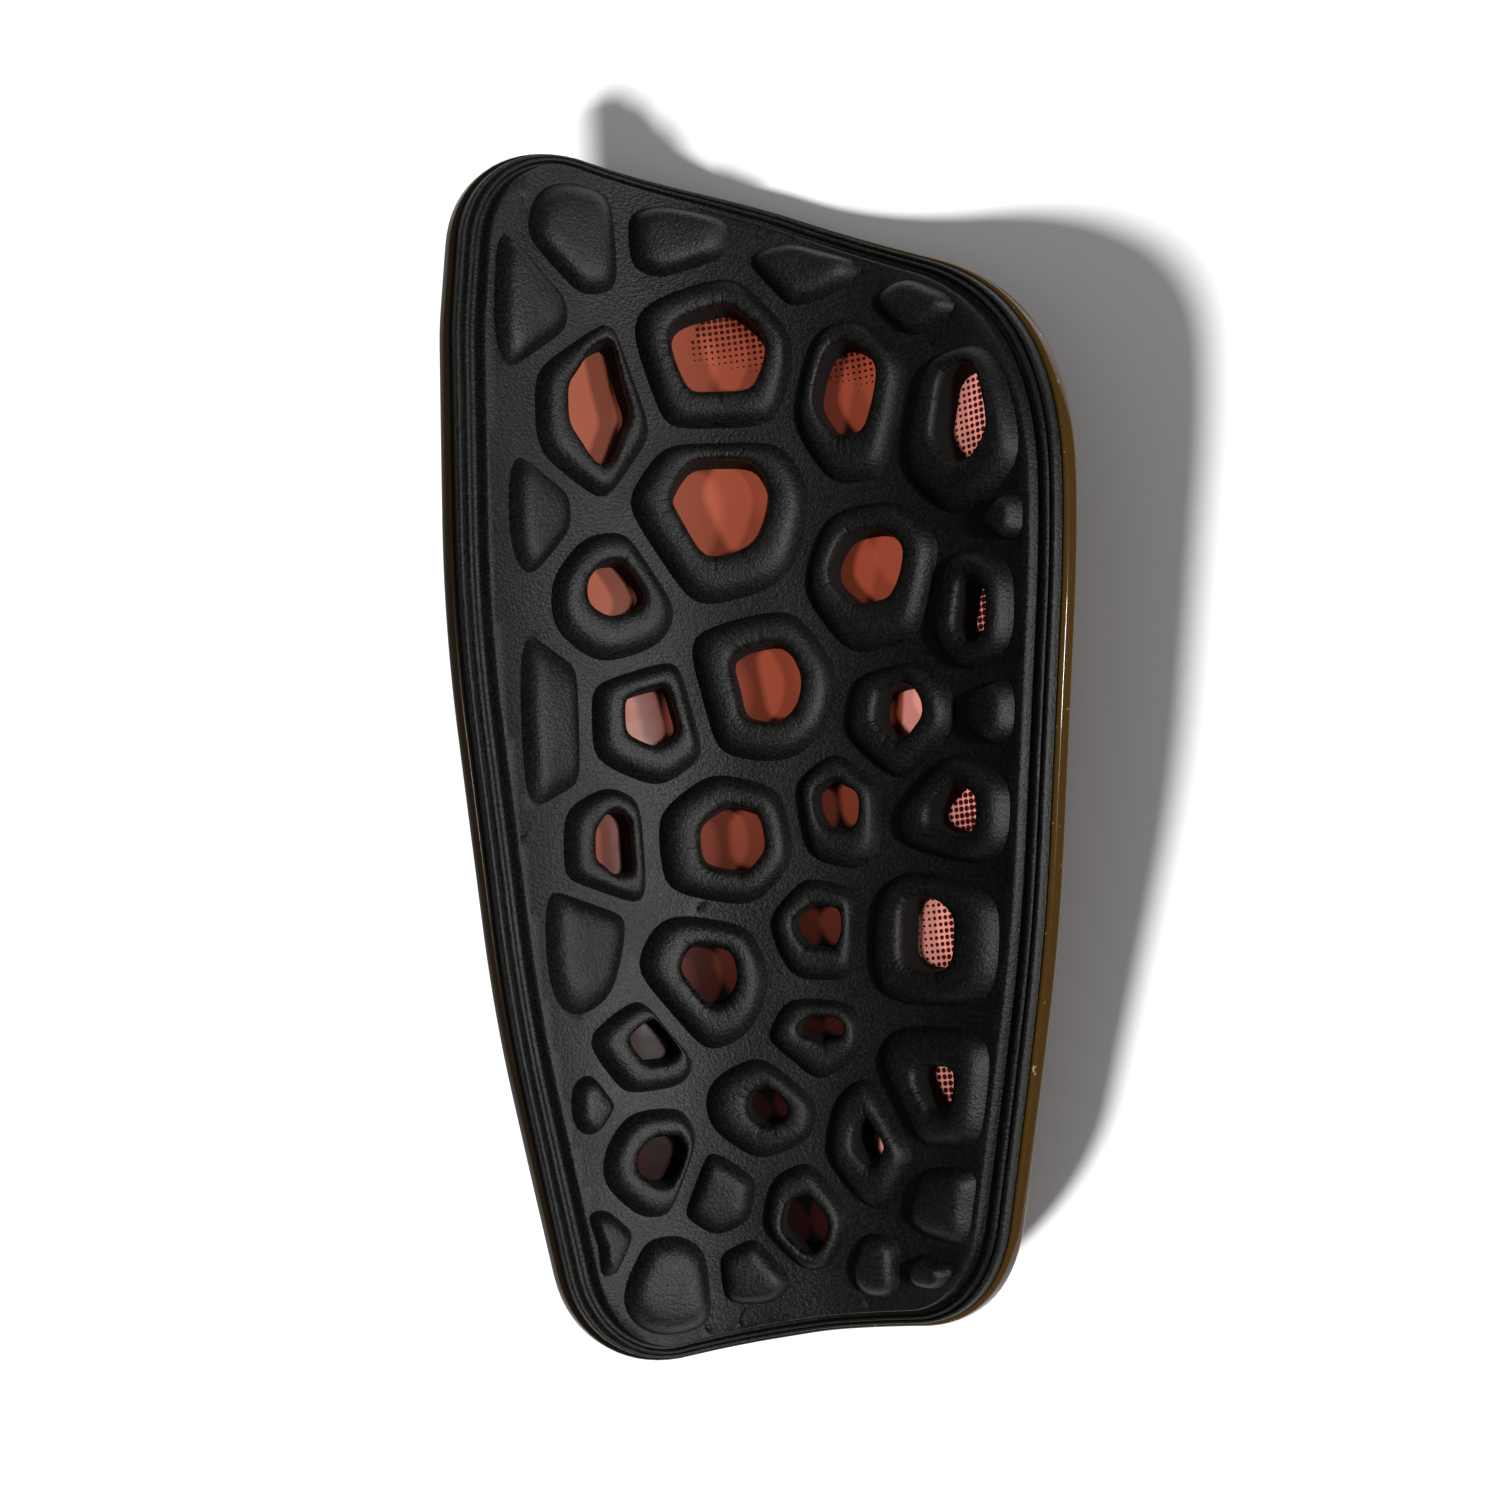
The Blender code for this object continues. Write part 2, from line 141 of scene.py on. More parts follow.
PADS = (
    Pad(-0.570, 0.835, 0.150, 0.100),
    Pad(-0.255, 0.845, 0.175, 0.060),
    Pad(0.125, 0.780, 0.180, 0.050),
    Pad(0.500, 0.700, 0.135, 0.045),
    Pad(-0.730, 0.730, 0.120, 0.130),
    Pad(-0.525, 0.555, 0.185, 0.190, 0.100, 0.135, 0.010, 0.010),
    Pad(-0.150, 0.640, 0.255, 0.145, 0.155, 0.080, 0.015, 0.010),
    Pad(0.280, 0.555, 0.185, 0.135, 0.105, 0.075, -0.010, 0.020),
    Pad(0.665, 0.480, 0.220, 0.130, 0.105, 0.075, 0.015, 0.025),
    Pad(-0.715, 0.380, 0.100, 0.105),
    Pad(-0.155, 0.385, 0.295, 0.155, 0.160, 0.090, 0.010, 0.015),
    Pad(-0.480, 0.250, 0.195, 0.120, 0.090, 0.050, 0.000, 0.010),
    Pad(0.340, 0.265, 0.230, 0.125, 0.130, 0.060, -0.010, 0.015),
    Pad(0.820, 0.330, 0.070, 0.035),
    Pad(0.685, 0.195, 0.155, 0.095, 0.065, 0.050, 0.020, -0.005),
    Pad(-0.035, 0.095, 0.260, 0.125, 0.120, 0.065, 0.020, 0.005),
    Pad(-0.375, 0.040, 0.210, 0.105, 0.100, 0.050, 0.005, 0.010),
    Pad(-0.690, 0.040, 0.105, 0.190),
    Pad(0.410, 0.030, 0.195, 0.095, 0.085, 0.045, 0.015, 0.010),
    Pad(0.750, 0.030, 0.090, 0.050),
    Pad(0.210, -0.115, 0.145, 0.095, 0.080, 0.040, -0.005, 0.010),
    Pad(0.600, -0.120, 0.225, 0.085, 0.100, 0.040, 0.020, 0.000),
    Pad(-0.525, -0.170, 0.135, 0.120, 0.060, 0.070, 0.015, 0.005),
    Pad(-0.150, -0.155, 0.220, 0.110, 0.110, 0.055, 0.025, 0.000),
    Pad(-0.230, -0.385, 0.215, 0.110, 0.095, 0.050, 0.020, 0.010),
    Pad(0.130, -0.305, 0.145, 0.085, 0.085, 0.035, 0.005, 0.005),
    Pad(0.515, -0.325, 0.245, 0.110, 0.100, 0.060, -0.005, 0.010),
    Pad(-0.605, -0.315, 0.130, 0.115),
    Pad(-0.425, -0.490, 0.170, 0.075, 0.080, 0.035, 0.030, 0.010),
    Pad(0.110, -0.480, 0.150, 0.065, 0.080, 0.020, 0.020, 0.015),
    Pad(0.510, -0.555, 0.220, 0.100, 0.080, 0.035, 0.020, 0.000),
    Pad(-0.595, -0.575, 0.070, 0.045),
    Pad(-0.400, -0.675, 0.160, 0.090, 0.085, 0.040, 0.025, 0.005),
    Pad(-0.060, -0.595, 0.175, 0.080, 0.060, 0.030, 0.025, 0.005),
    Pad(0.280, -0.650, 0.150, 0.105, 0.055, 0.035, 0.005, 0.005),
    Pad(-0.200, -0.730, 0.125, 0.065),
    Pad(0.065, -0.765, 0.125, 0.085, 0.070, 0.045, 0.000, -0.010),
    Pad(0.535, -0.735, 0.140, 0.060),
    Pad(-0.565, -0.795, 0.090, 0.050),
    Pad(-0.360, -0.870, 0.150, 0.080),
    Pad(-0.105, -0.855, 0.115, 0.050),
    Pad(0.290, -0.840, 0.080, 0.050),
    Pad(0.475, -0.845, 0.070, 0.025),
)

# Rim of the foam, from its edge inwards: an outer land, a groove, a ridge, a wide groove, the field
RIM_SECTION = (
    Step(0.00, 0.12),
    Step(0.00, 0.34),
    Step(0.02, 0.42),
    Step(0.06, 0.47),
    Step(0.12, 0.49),
    Step(0.18, 0.48),
    Step(0.21, 0.43),
    Step(0.24, 0.36),
    Step(0.28, 0.34),
    Step(0.31, 0.39),
    Step(0.33, 0.49),
    Step(0.36, 0.57),
    Step(0.41, 0.61),
    Step(0.48, 0.62),
    Step(0.54, 0.59),
    Step(0.57, 0.50),
    Step(0.60, 0.36),
    Step(0.64, 0.29),
    Step(0.74, 0.27),
    Step(0.84, 0.30),
    Step(0.89, 0.40),
    Step(0.93, 0.60),
    Step(0.97, 0.80),
    Step(1.02, 0.94),
    Step(1.08, 1.00),
)
# Section of a ring pad from its foot to its mouth, and of a closed pad from its foot to its middle
RING_SECTION = (
    Step(0.00, 0.00),
    Step(0.03, 0.12),
    Step(0.07, 0.29),
    Step(0.12, 0.46),
    Step(0.18, 0.62),
    Step(0.25, 0.76),
    Step(0.33, 0.87),
    Step(0.42, 0.94),
    Step(0.52, 0.98),
    Step(0.63, 1.00),
    Step(0.74, 0.995),
    Step(0.82, 0.97),
    Step(0.88, 0.92),
    Step(0.925, 0.85),
    Step(0.955, 0.77),
    Step(0.98, 0.66),
    Step(1.00, 0.50),
)
CLOSED_SECTION = (
    Step(0.00, 0.00),
    Step(0.03, 0.13),
    Step(0.07, 0.31),
    Step(0.12, 0.49),
    Step(0.18, 0.65),
    Step(0.25, 0.78),
    Step(0.33, 0.87),
    Step(0.43, 0.93),
    Step(0.55, 0.965),
    Step(0.70, 0.985),
    Step(0.85, 0.995),
)

CREASES = (
    Crease(-0.740, 0.900, 40.0, 2.6, 0.16),
    Crease(0.000, 0.860, -4.0, 3.4, 0.26),
    Crease(0.330, 0.790, -12.0, 4.4, 0.24),
    Crease(0.545, 0.620, 25.0, 4.0, 0.20),
    Crease(-0.825, -0.140, -75.0, 4.6, 0.18),
    Crease(-0.235, -0.262, -20.0, 2.6, 0.14),
    Crease(-0.245, -0.935, 8.0, 3.4, 0.22),
    Crease(-0.135, -0.925, -4.0, 3.6, 0.22),
    Crease(0.245, -0.915, 6.0, 3.2, 0.18),
)


def share_point(item: Corner | Pad | Crease, form: "GuardForm") -> Vector:
    """Place of a table row in the flat drawing."""
    return Vector((item.across * form.half_girth, item.along * form.half_length))


def linear(colour: str) -> tuple[float, float, float, float]:
    """Turn an sRGB hex colour into the linear colour that a shader takes.

    Args:
        colour: the colour as "#RRGGBB".

    Returns:
        Linear red, green, blue and an alpha of 1.
    """
    channels = []
    for start in (1, 3, 5):
        value = int(colour[start:start + 2], 16) / 255
        channels.append(value / 12.92 if value <= 0.04045 else ((value + 0.055) / 1.055) ** 2.4)
    return (*channels, 1.0)


def per_size(millimetres: float) -> float:
    """Scale of a texture whose features are this large."""
    return 1.0 / (millimetres * MILLIMETRE)


def feed(tree: bpy.types.NodeTree, node: bpy.types.Node, inputs: dict[str | int, object]) -> None:
    """Give each input of a node its value, or a link to the output that feeds it."""
    for key, value in inputs.items():
        if isinstance(value, bpy.types.NodeSocket):
            tree.links.new(value, node.inputs[key])
        else:
            node.inputs[key].default_value = value


def add(tree: bpy.types.NodeTree, kind: str, inputs: dict[str | int, object] | None = None,
        **settings: object) -> bpy.types.Node:
    """Add a node with its options, values and links.

    Args:
        tree: the tree that the node goes in.
        kind: Blender's name for the kind of node.
        inputs: for each input, its value or the output that feeds it.
        settings: the node's own options.

    Returns:
        The new node.
    """
    node = tree.nodes.new(kind)
    for name, value in settings.items():
        setattr(node, name, value)
    feed(tree, node, inputs or {})
    return node


def calculate(tree: bpy.types.NodeTree, operation: str, *values: object) -> bpy.types.NodeSocket:
    """Work out a number from numbers and outputs."""
    worked = add(tree, "ShaderNodeMath", dict(enumerate(values)), operation=operation)
    return worked.outputs["Value"]


def ramp(tree: bpy.types.NodeTree, value: bpy.types.NodeSocket, start: float, end: float,
         low: float = 0.0, high: float = 1.0, smooth: bool = True) -> bpy.types.NodeSocket:
    """Turn one range of values into another, held beyond both ends.

    Args:
        tree: the tree.
        value: the output that gives the values.
        start: the value that becomes the low one.
        end: the value that becomes the high one.
        low: the result at the start.
        high: the result at the end.
        smooth: whether it eases in and out.

    Returns:
        The result.
    """
    return add(tree, "ShaderNodeMapRange", {
        "Value": value, "From Min": start, "From Max": end, "To Min": low, "To Max": high},
        interpolation_type="SMOOTHSTEP" if smooth else "LINEAR").outputs["Result"]


def blend(tree: bpy.types.NodeTree, factor: bpy.types.NodeSocket, *colours: object
          ) -> bpy.types.NodeSocket:
    """Mix two colours.

    Args:
        tree: the tree.
        factor: how much of the second there is.
        colours: two hex colours, or outputs that give them.

    Returns:
        The mixed colour.
    """
    first, second = (linear(item) if isinstance(item, str) else item for item in colours)
    return add(tree, "ShaderNodeMix", {"Factor": factor, "A": first, "B": second},
               data_type="RGBA").outputs[2]


def clouds(tree: bpy.types.NodeTree, place: bpy.types.NodeSocket, millimetres: float,
           detail: float = 2.0, roughness: float = 0.5) -> bpy.types.NodeSocket:
    """Cloudy noise.

    Args:
        tree: the tree.
        place: the output that gives the place on the piece.
        millimetres: the size of its features.
        detail: how many finer layers it has.
        roughness: how strong they are.

    Returns:
        A value for each place.
    """
    return add(tree, "ShaderNodeTexNoise", {
        "Vector": place, "Scale": per_size(millimetres), "Detail": detail,
        "Roughness": roughness}).outputs["Fac"]


def relief(tree: bpy.types.NodeTree, height: bpy.types.NodeSocket, strength: float,
           millimetres: float, under: bpy.types.NodeSocket | None = None, sunk: bool = False
           ) -> bpy.types.NodeSocket:
    """Small bumps.

    Args:
        tree: the tree.
        height: the output that gives their height.
        strength: how strongly they show.
        millimetres: how high they stand.
        under: the relief that they lie on.
        sunk: whether they go inwards.

    Returns:
        The normal.
    """
    below = {} if under is None else {"Normal": under}
    return add(tree, "ShaderNodeBump", {
        "Height": height, "Strength": strength, "Distance": millimetres * MILLIMETRE, **below},
        invert=sunk).outputs["Normal"]


def place_on_piece(tree: bpy.types.NodeTree) -> bpy.types.NodeSocket:
    """Place of each point in the guard's own space."""
    return add(tree, "ShaderNodeTexCoord").outputs["Object"]


def mark_of(tree: bpy.types.NodeTree, name: str, output: str = "Fac") -> bpy.types.NodeSocket:
    """Mark that a skin gave its points."""
    return add(tree, "ShaderNodeAttribute", attribute_name=name).outputs[output]


def new_material(name: str) -> tuple[bpy.types.Material, bpy.types.NodeTree, bpy.types.Node]:
    """Start a material.

    Args:
        name: the name of the real material and how it was made.

    Returns:
        The material, its tree and its main shader.
    """
    material = bpy.data.materials.new(name)
    material.use_nodes = True
    tree = material.node_tree
    return material, tree, tree.nodes["Principled BSDF"]


@dataclass(frozen=True)
class GuardForm:
    """The flat drawing of the guard, and how it is bent into a trough."""

    length: float = 0.181
    girth: float = 0.106
    knee_bend_radius: float = 0.057
    ankle_bend_radius: float = 0.041
    spine_flat_width: float = 0.006
    rounding_share: float = 0.97
    corner_steps: int = 24

    @property
    def half_length(self) -> float:
        """Half the length of the guard."""
        return self.length / 2

    @property
    def half_girth(self) -> float:
        """Half the girth of the guard."""
        return self.girth / 2

    def bend_radius(self, along: float) -> float:
        """Radius of the trough, which narrows evenly from the knee end to the ankle end."""
        share = (along + self.half_length) / self.length
        return self.ankle_bend_radius + (self.knee_bend_radius - self.ankle_bend_radius) * share

    def bent(self, flat: Vector, lift: float) -> Vector:
        """Bend a point of the flat drawing.

        Args:
            flat: the point, as across and along.
            lift: its height above the outer face of the shell.

        Returns:
            The point in space, before the guard is centred.
        """
        across, along = flat
        half_flat = self.spine_flat_width / 2
        if abs(across) <= half_flat:
            return Vector((across, along, lift))
        radius = self.bend_radius(along)
        turn = (abs(across) - half_flat) / radius
        side = math.copysign(1.0, across)
        reach = half_flat + (radius - lift) * math.sin(turn)
        return Vector((side * reach, along, radius - (radius - lift) * math.cos(turn)))

    def facing_leg(self, flat: Vector) -> Vector:
        """Direction that points from the shell to the leg at a point of the flat drawing."""
        return (self.bent(flat, MILLIMETRE) - self.bent(flat, 0.0)).normalized()

    def corner_tangents(self, places: Sequence[Vector], radii: Sequence[float]) -> list[float]:
        """Find how far each rounding reaches along its two sides.

        Args:
            places: the corners of the edge.
            radii: the radius wanted at each.

        Returns:
            One length per corner, so that two roundings never meet on one side.
        """
        wanted = []
        for i, corner in enumerate(places):
            back = places[i - 1] - corner
            ahead = places[(i + 1) % len(places)] - corner
            wanted.append(radii[i] / math.tan(back.angle(ahead) / 2))
        shares = []
        for i, corner in enumerate(places):
            side = (places[i - 1] - corner).length
            shares.append(min(1.0, self.rounding_share * side / (wanted[i - 1] + wanted[i])))
        return [reach * min(shares[i], shares[(i + 1) % len(shares)])
                for i, reach in enumerate(wanted)]

    def rounded_edge(self) -> list[Vector]:
        """Fine closed line round the flat guard, counter-clockwise."""
        corners = EDGE_CORNERS[::-1]
        places = [share_point(corner, self) for corner in corners]
        radii = [corner.radius * self.half_length for corner in corners]
        tangents = self.corner_tangents(places, radii)
        line = []
        for i, corner in enumerate(places):
            back = (places[i - 1] - corner).normalized()
            ahead = (places[(i + 1) % len(places)] - corner).normalized()
            half_angle = back.angle(ahead) / 2
            radius = tangents[i] * math.tan(half_angle)
            centre = corner + (back + ahead).normalized() * radius / math.sin(half_angle)
            start = corner + back * tangents[i] - centre
            end = corner + ahead * tangents[i] - centre
            first = math.atan2(start.y, start.x)
            sweep = math.remainder(math.atan2(end.y, end.x) - first, math.tau)
            for step in range(self.corner_steps + 1):
                angle = first + sweep * step / self.corner_steps
                line.append(centre + radius * Vector((math.cos(angle), math.sin(angle))))
        return line

    def edge_line(self, count: int) -> list[Vector]:
        """Edge of the flat guard as points at equal steps.

        Args:
            count: the number of points.

        Returns:
            The closed line, counter-clockwise.
        """
        line = self.rounded_edge()
        lengths = [(line[(i + 1) % len(line)] - point).length for i, point in enumerate(line)]
        step = sum(lengths) / count
        points = []
        travelled = 0.0
        for i, length in enumerate(lengths):
            while len(points) < count and len(points) * step < travelled + length:
                share = (len(points) * step - travelled) / length
                points.append(line[i].lerp(line[(i + 1) % len(line)], share))
            travelled += length
        return points


def headings(loop: Sequence[Vector]) -> list[Vector]:
    """Direction of a closed line at each of its points."""
    return [(loop[(i + 1) % len(loop)] - loop[i - 1]).normalized() for i in range(len(loop))]


def inset(loop: Sequence[Vector], distance: float) -> list[Vector]:
    """Move a closed counter-clockwise line inwards by a distance."""
    return [point + distance * Vector((-way.y, way.x)) for point, way in zip(loop, headings(loop))]


def inside(point: Vector, loop: Sequence[Vector]) -> bool:
    """Whether a point lies inside a closed line."""
    found = False
    for i, end in enumerate(loop):
        start = loop[i - 1]
        if (start.y > point.y) != (end.y > point.y):
            share = (point.y - start.y) / (end.y - start.y)
            if point.x < start.x + share * (end.x - start.x):
                found = not found
    return found


def distance_to_loop(point: Vector, heading: Vector, loop: Sequence[Vector]) -> float:
    """How far a closed line is from a point inside it, in one direction."""
    nearest = math.inf
    for i, end in enumerate(loop):
        start = loop[i - 1]
        side = end - start
        turn = heading.x * side.y - heading.y * side.x
        if abs(turn) < PARALLEL:
            continue
        gap = start - point
        reach = (gap.x * side.y - gap.y * side.x) / turn
        share = (gap.x * heading.y - gap.y * heading.x) / turn
        if reach > 0 and 0 <= share <= 1:
            nearest = min(nearest, reach)
    return nearest


def gap_to_line(point: Vector, line: Sequence[Vector]) -> float:
    """Shortest distance from a point to the sides of a closed line."""
    shortest = math.inf
    for i, end in enumerate(line):
        start = line[i - 1]
        side = end - start
        share = max(0.0, min(1.0, (point - start).dot(side) / side.length_squared))
        shortest = min(shortest, (start + side * share - point).length)
    return shortest


def clear_reach(room: float, clearance: float, tight_share: float) -> float:
    """Reach that keeps a clearance from what is ahead, or takes a share of a tight room."""
    return max(room - clearance, tight_share * room)


class Skin:
    """Points and triangles of one piece, gathered loop by loop, with marks for the shader."""

    def __init__(self, form: GuardForm) -> None:
        """Start an empty skin on the guard's form."""
        self.form = form
        self.flats: list[Vector] = []
        self.points: list[Vector] = []
        self.faces: list[tuple[int, ...]] = []
        self.marks: dict[str, dict[int, float | Vector]] = {}

    def add(self, flats: Sequence[Vector], lift: float | Sequence[float]) -> list[int]:
        """Add points, bent from the flat drawing.

        Args:
            flats: the points in the flat drawing.
            lift: one height for all, or one for each.

        Returns:
            The indices of the new points.
        """
        first = len(self.points)
        lifts = [lift] * len(flats) if isinstance(lift, float) else lift
        self.flats.extend(flats)
        self.points.extend(self.form.bent(flat, height) for flat, height in zip(flats, lifts))
        return list(range(first, len(self.points)))

    def mark(self, name: str, indices: Sequence[int], values: Sequence[float | Vector]) -> None:
        """Write one value per point for the shader to read."""
        self.marks.setdefault(name, {}).update(zip(indices, values))

    def band(self, outer: Sequence[int], inner: Sequence[int]) -> None:
        """Join two loops that have the same number of points."""
        for i, a in enumerate(outer):
            j = (i + 1) % len(outer)
            self.faces.append((a, outer[j], inner[j], inner[i]))

    def cap(self, loop: Sequence[int], centre: int) -> None:
        """Close a loop with a fan about one point."""
        for i, a in enumerate(loop):
            self.faces.append((a, loop[(i + 1) % len(loop)], centre))

    def sheet(self, edge: Sequence[int], holes: Sequence[Sequence[int]], loose: Sequence[int],
              lines: Sequence[tuple[int, int]], facing: Facing) -> None:
        """Fill the region between an edge loop and its holes, through loose points.

        Args:
            edge: the loop round the region.
            holes: loops that stay open.
            loose: points inside the region.
            lines: pairs of points that are joined by a side.
            facing: which way the triangles face.
        """
        indices = [*edge, *(i for hole in holes for i in hole), *loose]
        place = {index: position for position, index in enumerate(indices)}
        loops = [[place[i] for i in loop] for loop in (edge, *holes)]
        sides = [(place[a], place[b]) for a, b in lines]
        flats = [self.flats[i] for i in indices]
        found = delaunay_2d_cdt(flats, sides, loops, INSIDE_WITH_HOLES, MERGE_DISTANCE)
        for face in found[2]:
            corners = [indices[found[3][i][0]] for i in face]
            self.faces.append(tuple(corners[::facing.value]))

    def make_object(self, name: str, material: bpy.types.Material, shift: Vector,
                    ) -> bpy.types.Object:
        """Turn the skin into an object.

        Args:
            name: the name of the piece.
            material: its material.
            shift: the move that centres the guard.

        Returns:
            The new object, with its place in its mesh.
        """
        mesh = bpy.data.meshes.new(name)
        mesh.from_pydata([point + shift for point in self.points], [], self.faces)
        mesh.materials.append(material)
        mesh.shade_smooth()
        mesh.set_sharp_from_angle(angle=SHARP_ANGLE)
        for mark, values in self.marks.items():
            vector = isinstance(next(iter(values.values())), Vector)
            layer = mesh.attributes.new(mark, "FLOAT_VECTOR" if vector else "FLOAT", "POINT")
            for index, value in values.items():
                if vector:
                    layer.data[index].vector = value
                else:
                    layer.data[index].value = value
        mesh.validate()
        made = bpy.data.objects.new(name, mesh)
        bpy.context.scene.collection.objects.link(made)
        return made


@dataclass(frozen=True)
class MouldedFoam:
    """Black EVA foam, compression moulded: satin, finely grained, creased where it was bent."""

    # Painted shade: the darker colour laid into the wrinkle folds and down the walls of the windows
    crevice_shade: str = "#050606"
    surface: str = "#0B0D0D"
    # Paler specks scattered with the grain
    pale_speck: str = "#292825"
    # The grain of the mould is about 0.2 mm, drawn coarser so that it shows at this distance
    grain_mm: float = 0.48
    grain_depth_mm: float = 0.17
    grain_strength: float = 0.9
    speckled: tuple[float, float] = (0.44, 0.66)
    pit_mm: float = 1.3
    pit_share: float = 0.16
    pit_depth_mm: float = 0.06
    pit_strength: float = 0.35
    # A ring is marked from 0 at its foot to 1 at its mouth and down its wall
    fold_reach: tuple[float, float] = (0.45, 0.85)
    wall_reach: tuple[float, float] = (0.97, 1.0)
    creased: tuple[float, float] = (0.52, 0.66)
    wrinkle_depth_mm: float = 0.12
    wrinkle_strength: float = 0.55
    cloud_mm: float = 16.0
    clouded: tuple[float, float] = (0.3, 0.7)
    smooth: float = 0.38
    rough: float = 0.54
    wall: float = 0.95

    def material(self) -> bpy.types.Material:
        """Make the material.

        Returns:
            Foam whose grain breaks up the sheen, with wrinkles round the mouths of the rings,
            and painted shade in those wrinkles and down the walls of the windows.
        """
        material, tree, shader = new_material("compression_moulded_eva_foam")
        place = place_on_piece(tree)
        mouth = mark_of(tree, "mouth")
        grain = clouds(tree, place, self.grain_mm, 3.0, 0.65)
        pits = add(tree, "ShaderNodeTexVoronoi", {
            "Vector": place, "Scale": per_size(self.pit_mm), "Randomness": 1.0})
        wrinkles = add(tree, "ShaderNodeTexNoise", {
            "Vector": mark_of(tree, "around", "Vector"), "Scale": 1.0, "Detail": 2.0})
        folds = ramp(tree, wrinkles.outputs["Fac"], *self.creased)
        folded = calculate(tree, "MULTIPLY", folds, ramp(tree, mouth, *self.fold_reach))
        wrinkled = relief(tree, folded, self.wrinkle_strength, self.wrinkle_depth_mm, sunk=True)
        pit = ramp(tree, pits.outputs["Distance"], 0.0, self.pit_share, 1.0, 0.0)
        pitted = relief(tree, pit, self.pit_strength, self.pit_depth_mm, wrinkled, sunk=True)
        tone = blend(tree, ramp(tree, grain, *self.speckled, smooth=False), self.surface,
                     self.pale_speck)
        on_wall = ramp(tree, mouth, *self.wall_reach)
        satin = ramp(tree, clouds(tree, place, self.cloud_mm, 4.0, 0.6), *self.clouded,
                     self.smooth, self.rough, smooth=False)
        roughness = add(tree, "ShaderNodeMix", {"Factor": on_wall, "A": satin, "B": self.wall})
        # Base colour: painted shade in the wrinkle folds and on the window walls
        feed(tree, shader, {
            "Base Color": blend(tree, calculate(tree, "MAXIMUM", folded, on_wall), tone,
                                self.crevice_shade),
            "Roughness": roughness.outputs[0],
            "Normal": relief(tree, grain, self.grain_strength, self.grain_depth_mm, pitted),
            "IOR": 1.49})
        return material


@dataclass(frozen=True)
class TintedShell:
    """Amber polycarbonate, injection moulded and printed on its leg side: glossy, and rubbed at its
    bare edge into cream scuff marks that also stand in for painted glints. Its leg side carries
    painted light and shade, lit to the left, shaded in the middle, painted shade towards the ankle
    and painted light to the right, meeting at places that are measured from the middle of the
    guard."""

    # Painted light and shade of the leg side: a lit tone to the left, a shaded tone in the middle,
    # deep painted shade towards the ankle, and painted light on the right
    lit_salmon: str = "#A85C46"
    shaded_terracotta: str = "#8A3E2A"
    deep_shade_maroon: str = "#2A0C0A"
    lit_pink: str = "#D0857A"
    amber: str = "#3A280E"
    shaded: str = "#171109"
    front: str = "#4A2A12"
    # Cream wear on the amber bare edge, which also stands in for painted glints there
    wear_and_glint: str = "#CDB98E"
    middle: tuple[float, float] = (-0.028, 0.010)
    middle_sway: float = 0.006
    ankle: tuple[float, float] = (0.012, -0.050)
    pink_side: tuple[float, float] = (0.0188, 0.0194)
    pink_lean: float = 0.085
    amber_side: tuple[float, float] = (-0.010, 0.036)
    cloud_mm: float = 9.0
    scuff_and_glint_mm: float = 2.2
    scuffs_and_glints: tuple[float, float] = (0.64, 0.69)
    polished: float = 0.22
    scratched: float = 0.6
    peel_mm: float = 5.0
    peel_depth_mm: float = 0.10
    coat: float = 0.5

    def material(self) -> bpy.types.Material:
        """Make the material.

        Returns:
            Plastic with a clear gloss over its tint, painted light and shade on its leg side, and
            cream scuff marks along the edge that are partly painted glints.
        """
        material, tree, shader = new_material("injection_moulded_amber_polycarbonate")
        place = place_on_piece(tree)
        axes = add(tree, "ShaderNodeSeparateXYZ", {0: place}).outputs
        bare = mark_of(tree, "bare_edge")
        swayed = calculate(tree, "MULTIPLY_ADD", clouds(tree, place, self.cloud_mm, 3.0),
                           self.middle_sway, axes["X"])
        # Painted light to the left fading to painted shade in the middle, then deeper painted shade
        # towards the ankle
        lit_to_shaded = blend(tree, ramp(tree, swayed, *self.middle), self.lit_salmon, self.shaded_terracotta)
        shade_to_ankle = blend(tree, ramp(tree, axes["Y"], *self.ankle), lit_to_shaded, self.deep_shade_maroon)
        # Painted light on the right side; printed holds these painted tones of light and shade, not
        # print
        leaning = calculate(tree, "MULTIPLY_ADD", axes["Y"], -self.pink_lean, axes["X"])
        printed = blend(tree, ramp(tree, leaning, *self.pink_side), shade_to_ankle, self.lit_pink)
        sided = blend(tree, mark_of(tree, "leg_side"), self.front, printed)
        to_amber = ramp(tree, axes["X"], *self.amber_side)
        edged = blend(tree, bare, sided, blend(tree, to_amber, self.shaded, self.amber))
        # Cream scuff marks on the amber, lit side of the bare edge: partly wear, partly painted
        # glints
        scuff_and_glint_noise = ramp(tree, clouds(tree, place, self.scuff_and_glint_mm, 6.0, 0.75), *self.scuffs_and_glints)
        amber_edge = calculate(tree, "MULTIPLY", to_amber, bare)
        scuffs_and_glints = calculate(tree, "MULTIPLY", scuff_and_glint_noise, amber_edge)
        shade = calculate(tree, "SUBTRACT", bare, amber_edge)
        feed(tree, shader, {
            "Base Color": blend(tree, scuffs_and_glints, edged, self.wear_and_glint),
            "Roughness": ramp(tree, scuffs_and_glints, 0.0, 1.0, self.polished, self.scratched,
                              smooth=False),
            "Normal": relief(tree, clouds(tree, place, self.peel_mm, 1.0), 0.5,
                             self.peel_depth_mm),
            "Coat Weight": ramp(tree, shade, 0.0, 1.0, self.coat, 0.0, smooth=False),
            "Coat Roughness": 0.05, "Specular IOR Level": 0.12, "IOR": 1.58})
        return material


